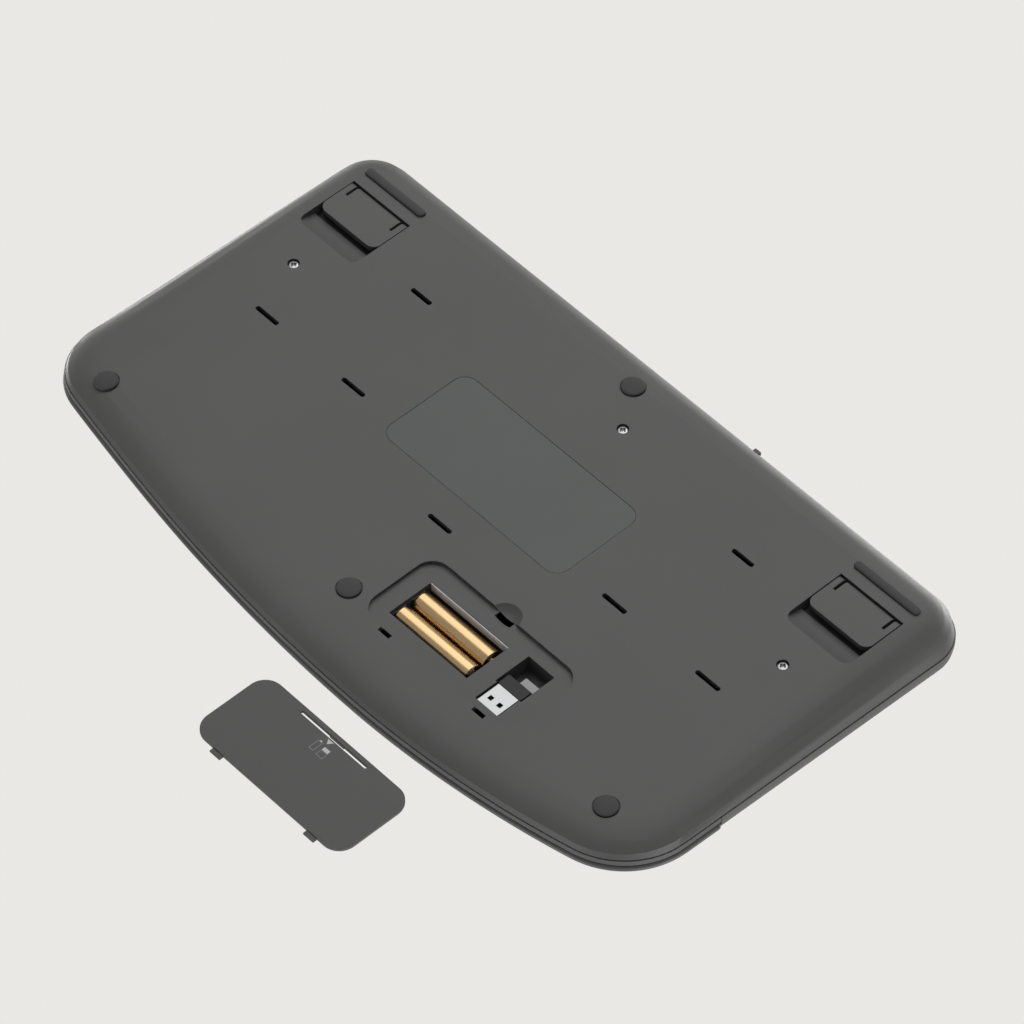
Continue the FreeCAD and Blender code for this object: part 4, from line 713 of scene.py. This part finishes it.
# %% Caps and legends
legend_ink = moulded("Printed_pale_legend", "#a9abac", "#b3b5b6", 0.5, 0.5, 0.002)
letter_curve = bpy.data.objects.new("letters", bpy.data.curves.new("letters", "FONT"))
bpy.context.scene.collection.objects.link(letter_curve)
caps = 0
for name, (start, unit_width, row, unit_depth, words) in LAYOUT.items():
    words = words.split(" ")
    all_points, all_faces, legends = [], [], []
    for i, word in enumerate(words):
        x = KEYS_LEFT + (start + (i + 0.5) * unit_width) * UNIT
        gap = FUNCTION_ROW_GAP if row == FUNCTION_ROW else 0
        y = KEYS_FRONT + (row + unit_depth / 2) * UNIT + gap
        width, depth = unit_width * UNIT - KEY_GAP, unit_depth * UNIT - KEY_GAP
        rings = cap_points(x, y, width, depth)
        first = i * rings.shape[0] * rings.shape[1]
        all_faces += [[v + first for v in face] for face in closed_faces(*rings.shape[:2])]
        all_points.append(rings.reshape(-1, 3))
        if word:
            legends.append(legend(word, x, y, width, depth, letter_curve))
    cap_faces = len(all_faces)
    count = sum(len(p) for p in all_points)
    for points, faces in legends:
        all_faces += [[v + count for v in face] for face in faces]
        all_points.append(points)
        count += len(points)
    lifted_points = on_deck(np.concatenate(all_points))
    piece = piece_from(name + "_shown", lifted_points, all_faces, key_abs, name, "keycap")
    piece.data.materials.append(legend_ink)
    ink = np.zeros(len(all_faces), np.int32)
    ink[cap_faces:] = 1
    piece.data.polygons.foreach_set("material_index", ink)
    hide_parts(name)
    caps += len(words)
bpy.data.objects.remove(letter_curve)
print(caps, "keycaps")

# %% [markdown]
# ## The outline of the case
# The plan of the case is a closed line of ten pieces: round corners, straight sides and back,
# and a front edge of three long arcs. Moving it inwards keeps every arc's centre, so all rings
# have their points side by side, and a wall is a stack of such rings.

# %% The case's outline as rings
LEFT_R, RIGHT_R = 37.5, 30.0
APEX_X = -42.0
FRONT_LEFT_R, FRONT_MID_R, FRONT_RIGHT_R = 490.0, 870.0, 2000.0
FRONT_MID_TURN = math.radians(9.4)


def corner_centre(x, arc_centre, arc_r, corner_r):
    """Centre of a corner at a given x that touches a front arc from inside: Pythagoras between
    the two centres, whose distance is the difference of the radii."""
    return np.array([x, arc_centre[1] - math.sqrt((arc_r - corner_r) ** 2 - (x - arc_centre[0]) ** 2)])


def case_rings(inset, back_inset, back, back_r, back_share=np.arange(1, 60) / 60):
    """Rings of the case outline, one per inset: each arc is its centre plus (radius - inset)
    times (cos, sin), and straight runs blend the ends of neighbouring arcs at given shares."""
    inset, back_inset = np.broadcast_arrays(np.atleast_1d(inset), np.atleast_1d(back_inset))
    left_arc = np.array([APEX_X, FRONT_LEFT_R - HALF_DEPTH])
    mid_arc = np.array([APEX_X, FRONT_MID_R - HALF_DEPTH])
    way = np.array([math.sin(FRONT_MID_TURN), -math.cos(FRONT_MID_TURN)])
    right_arc = mid_arc + way * (FRONT_MID_R - FRONT_RIGHT_R)
    left = corner_centre(LEFT_R - HALF_WIDTH, left_arc, FRONT_LEFT_R, LEFT_R)
    right = corner_centre(HALF_WIDTH - RIGHT_R, right_arc, FRONT_RIGHT_R, RIGHT_R)
    turn_left = math.atan2(*(left - left_arc)[::-1]) % (2 * math.pi)
    turn_right = math.atan2(*(right - right_arc)[::-1]) % (2 * math.pi)
    down, mid_end = 1.5 * math.pi, 1.5 * math.pi + FRONT_MID_TURN
    side, top = HALF_WIDTH - inset, back - back_inset
    rb = np.maximum(back_r, 0.4) * np.ones_like(inset)
    arcs = [
        (np.stack([rb - side, top - rb], -1), rb, math.pi / 2, math.pi, 10),
        (left, LEFT_R - inset, math.pi, turn_left, 14),
        (left_arc, FRONT_LEFT_R - inset, turn_left, down, 30),
        (mid_arc, FRONT_MID_R - inset, down, mid_end, 30),
        (right_arc, FRONT_RIGHT_R - inset, mid_end, turn_right, 20),
        (right, RIGHT_R - inset, turn_right, 2 * math.pi, 14),
        (np.stack([side - rb, top - rb], -1), rb, 0.0, math.pi / 2, 10),
    ]
    drawn = []
    for centre, radius, start, end, steps in arcs:
        angle = np.linspace(start, end, steps)
        centre = np.broadcast_to(centre, (len(inset), 2))[:, None]
        drawn.append(centre + radius[:, None, None] * np.stack([np.cos(angle), np.sin(angle)], -1))
    side_share = np.arange(1, 12) / 12
    runs = {0: side_share, 5: side_share, 6: back_share}
    parts = []
    for i, points in enumerate(drawn):
        parts.append(points)
        if i in runs:
            start, end = points[:, -1:], drawn[(i + 1) % 7][:, :1]
            parts.append(start + (end - start) * runs[i][:, None])
    joined = np.concatenate(parts, 1)
    step = np.linalg.norm(np.diff(joined[0], axis=0), axis=-1)
    return joined[:, np.concatenate([[True], step > 1e-6])]

# %% [markdown]
# ## The palm cushion
# The palm rest is foam under a soft, leather-like skin. It rolls over the front lip, rises to a
# gentle crown and follows the wave of the keys. It starts as closed rings over its carrier, a
# cloth simulation with a little pressure fills it out, and no point may move further than the
# foam would let it.

# %% Cushion before it is filled
PALM_BACK, PALM_CORNER_R = -38.4, 2.0
CUSHION_LOW, CUSHION_WIDEST, CUSHION_RISE = 3.4, 4.9, 7.0
FRONT_REACH, BACK_REACH, BULGE = 27.0, 11.0, 1.1
SPINE_HALF, FRONT_BEFORE = 150.0, -70.0
BACK_ENDS = 164.0
FRONT_INSETS, BACK_INSETS = [6.1, 1.75, 0.8, -0.4], [6.1, 1.75, 1.0, 0.3]
LOWER_HEIGHTS = [8.3, 3.4, CUSHION_LOW, 4.0]
EDGE_TURN, EDGE_RINGS, TOP_RINGS = 82, 10, 10
TOP_CROWN, WAVE_SHARE = 0.5, 0.8


def cushion_rings():
    """Rings up inside the carrier's hollow, round the lower edge, over a quarter-ellipse front
    and back, and across the top to a line halfway, where each front point meets the back point
    that was placed at its x, and both ends gather in one point."""
    edge = case_rings(0.0, 0.0, PALM_BACK, PALM_CORNER_R)[0]
    front = np.flatnonzero((edge[:, 1] < FRONT_BEFORE) & (np.abs(edge[:, 0]) < SPINE_HALF))
    span = HALF_WIDTH - PALM_CORNER_R
    back_x = np.concatenate([[BACK_ENDS], edge[front, 0][::-1], [-BACK_ENDS]])
    back_share = (span - back_x) / (2 * span)
    phi = np.radians(np.linspace(0, EDGE_TURN, EDGE_RINGS))
    draw = 1 - np.cos(phi)
    inset = np.concatenate([FRONT_INSETS, FRONT_REACH * draw - BULGE])
    back_inset = np.concatenate([BACK_INSETS, BACK_REACH * draw])
    height = np.concatenate([LOWER_HEIGHTS, CUSHION_WIDEST + CUSHION_RISE * np.sin(phi)])
    plan = case_rings(inset, back_inset, PALM_BACK, PALM_CORNER_R, back_share)
    share = np.linspace(0, 1, TOP_RINGS)[1:]
    back = np.flatnonzero((plan[3, :, 1] > PALM_BACK - 1) & (np.abs(plan[3, :, 0]) < BACK_ENDS - 1))
    halfway = (plan[-1, front, 1] + plan[-1, back, 1][::-1]) / 2
    line = np.stack([plan[-1, front, 0], halfway], -1)
    spine = np.where(plan[-1, :, :1] < 0, line[0], line[-1])
    spine[front] = line
    spine[back] = line[::-1]
    across = plan[-1] + (spine - plan[-1]) * share[:, None, None]
    top = height[-1] + TOP_CROWN * (1 - (1 - share) ** 2)
    plan = np.concatenate([plan, across])
    over = np.concatenate([height, top])[:, None]
    lifted = np.clip((over - CUSHION_WIDEST) / CUSHION_RISE, 0, 1)
    lifted[:3] = 0
    z = seam(plan[..., 1]) + over + lifted * WAVE_SHARE * wave(plan[..., 0])
    return np.concatenate([plan, z[..., None]], -1)


# The skin's pebbles are drawn 1.3 mm wide, about twice the real ones, so that they show.
PEBBLE_MM, PEBBLE_DEEP_MM, SKIN_CLOUD_MM = 1.3, 0.03, 25
cushion_skin, tree = blank_material("Polyurethane_leather_cushion")
place = add(tree, "TexCoord", {}, {}).outputs["Object"]
grain = add(tree, "TexVoronoi", {}, {"Vector": place, "Scale": 1 / (PEBBLE_MM * MM)})
slow = add(tree, "TexNoise", {}, {"Vector": place, "Scale": 1 / (SKIN_CLOUD_MM * MM), "Detail": 2.0})
tone = ramp(tree, slow.outputs["Fac"], [(TONE_LOW, "#38393a"), (TONE_HIGH, "#3e3f40")])
bump = add(tree, "Bump", {}, {"Strength": 1.0, "Distance": PEBBLE_DEEP_MM * MM,
                              "Height": grain.outputs["Distance"]})
shader = add(tree, "BsdfPrincipled", {}, {"Base Color": tone, "Roughness": 0.55, "IOR": 1.5,
                                          "Sheen Weight": 0.08, "Normal": bump.outputs["Normal"]})
surface(tree, shader.outputs["BSDF"])

rings = cushion_rings()
cushion_faces = closed_faces(*rings.shape[:2])[:-1]
cushion = piece_from("palm_rest_cushion_shown", rings.reshape(-1, 3), cushion_faces, cushion_skin,
                     "case", "cushion")
merged(cushion, 0.001)
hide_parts("palm_rest_cushion")
print("cushion of", rings.shape[0], "rings with", rings.shape[1], "points each")

# %% [markdown]
# The filling is a short cloth simulation: gravity off, pressure inside, and the lower edge held
# where it is glued to the carrier. The result is taken into the mesh, and the simulation removed.

# %% Filling the cushion
FILL_PRESSURE = 4.0
FILL_FRAMES = 20
SKIN_STIFFNESS = 40.0
HELD_RINGS = 5
MOST_MOVE = 1.2 * MM
HELD_FROM = 150 * MM
EVENING = 60


def evened(piece, move, held):
    """Each free point's move becomes the mean of its own and its neighbours' mean, many times."""
    pairs = np.zeros(len(piece.data.edges) * 2, np.int32)
    piece.data.edges.foreach_get("vertices", pairs)
    a, b = pairs.reshape(-1, 2).T
    near = np.maximum(np.bincount(np.concatenate([a, b]), minlength=len(move)), 1)[:, None]
    for step in range(EVENING):
        total = np.zeros_like(move)
        np.add.at(total, a, move[b])
        np.add.at(total, b, move[a])
        move = (move + total / near) / 2
        move[held] = 0.0
    return move


def filled(piece, held_points):
    """Run the cloth simulation, then move each point at most MOST_MOVE, evenly with those round
    it, so that the skin swells and has no folds. The lower rings and both ends are held."""
    before = np.zeros(len(piece.data.vertices) * 3)
    piece.data.vertices.foreach_get("co", before)
    held = np.abs(before.reshape(-1, 3)[:, 0]) > HELD_FROM
    held[:held_points] = True
    group = piece.vertex_groups.new(name="held")
    group.add(np.flatnonzero(held).tolist(), 1.0, "REPLACE")
    cloth = piece.modifiers.new("filling", "CLOTH")
    cloth.settings.use_pressure = True
    cloth.settings.uniform_pressure_force = FILL_PRESSURE
    cloth.settings.effector_weights.gravity = 0.0
    cloth.settings.vertex_group_mass = "held"
    cloth.settings.tension_stiffness = SKIN_STIFFNESS
    cloth.settings.compression_stiffness = SKIN_STIFFNESS
    cloth.collision_settings.use_self_collision = False
    for step in range(1, FILL_FRAMES + 1):
        bpy.context.scene.frame_set(step)
    shape = piece.evaluated_get(bpy.context.evaluated_depsgraph_get())
    after = np.zeros(len(before))
    shape.data.vertices.foreach_get("co", after)
    piece.modifiers.remove(cloth)
    bpy.context.scene.frame_set(1)
    move = (after - before).reshape(-1, 3)
    far = np.linalg.norm(move, axis=-1, keepdims=True)
    move = evened(piece, move * np.minimum(1.0, MOST_MOVE / np.maximum(far, 1e-9)), held)
    piece.data.vertices.foreach_set("co", (before.reshape(-1, 3) + move).ravel())
    piece.data.update()
    return far.max(), np.linalg.norm(move, axis=-1).mean()


print("largest and mean move in the filling", filled(cushion, rings.shape[1] * HELD_RINGS))
smooth = cushion.modifiers.new("skin", "SUBSURF")
smooth.levels = 1
smooth.render_levels = 1

# %% [markdown]
# ## Desk, world and lamps
# The desk is a pale sheet under the feet. The camera of the main view stands below it, so the
# sheet shows only its upper face and lets everything else through. The world is pale where it is
# looked at or mirrored, and weak as a light. The main lamp stands below and behind, so the rims
# that turn to the front fall into shade, and four softer ones round the keyboard, a little above
# the desk, catch its edges and light the keys from all sides.

# %% Desk and world
DESK_HALF = 9.0
DESK_MOTTLE_MM = 40
WORLD_COLOUR = "#e9e8e5"
AMBIENT = 0.22

corners = np.array([(-1, -1, 0), (1, -1, 0), (1, 1, 0), (-1, 1, 0)]) * DESK_HALF
desk_mesh = bpy.data.meshes.new("desk")
desk_mesh.from_pydata(corners.tolist(), [], [(0, 1, 2, 3)])
desk = bpy.data.objects.new("desk", desk_mesh)
bpy.context.scene.collection.objects.link(desk)

desk_material, tree = blank_material("Matt_laminate_desk")
place = add(tree, "TexCoord", {}, {}).outputs["Object"]
mottle = add(tree, "TexNoise", {}, {"Vector": place, "Scale": 1 / (DESK_MOTTLE_MM * MM), "Detail": 4.0})
tone = ramp(tree, mottle.outputs["Fac"], [(TONE_LOW, "#e3e2df"), (TONE_HIGH, "#e6e5e2")])
top_face = add(tree, "BsdfPrincipled", {}, {"Base Color": tone, "Roughness": 0.7})
see_through = add(tree, "BsdfTransparent", {}, {})
below = add(tree, "NewGeometry", {}, {}).outputs["Backfacing"]
seen = add(tree, "LightPath", {}, {}).outputs["Is Camera Ray"]
shown = add(tree, "Math", {"operation": "SUBTRACT", "use_clamp": True}, {0: seen, 1: below})
mixed = add(tree, "MixShader", {}, {"Fac": shown.outputs["Value"], 1: see_through.outputs["BSDF"],
                                    2: top_face.outputs["BSDF"]})
surface(tree, mixed.outputs["Shader"])
desk_mesh.materials.append(desk_material)

world = bpy.data.worlds.new("studio")
bpy.context.scene.world = world
world.use_nodes = True
tree = world.node_tree
tree.nodes.clear()
path = add(tree, "LightPath", {}, {})
mirrored = calc(tree, "MAXIMUM", path.outputs["Is Glossy Ray"], path.outputs["Is Transmission Ray"])
looked_at = calc(tree, "MAXIMUM", path.outputs["Is Camera Ray"], mirrored)
strength = add(tree, "MapRange", {}, {"Value": looked_at, "To Min": AMBIENT, "To Max": 1.0})
glow = add(tree, "Background", {}, {"Color": linear(WORLD_COLOUR),
                                    "Strength": strength.outputs["Result"]})
add(tree, "OutputWorld", {}, {"Surface": glow.outputs["Background"]})
print("desk and world ready")


# %% Lamps
def lamp(name, place, size, watts):
    """Square area lamp that faces the middle of the keyboard."""
    data = bpy.data.lights.new(name, "AREA")
    data.size = size
    data.energy = watts
    thing = bpy.data.objects.new(name, data)
    thing.location = place
    thing.rotation_euler = (-Vector(place)).to_track_quat("-Z", "Y").to_euler()
    bpy.context.scene.collection.objects.link(thing)


lamp("lamp_below", (0.4, 0.85, -1.5), 2.0, 31.5)
lamp("lamp_letter_side", (-2.0, 0.0, 0.6), 1.2, 40.0)
lamp("lamp_pad_side", (2.0, 0.3, 0.6), 1.2, 36.0)
lamp("lamp_back", (0.2, 2.0, 0.6), 1.2, 32.0)
lamp("lamp_front", (0.0, -2.0, 0.35), 1.4, 30.0)
print("five lamps")
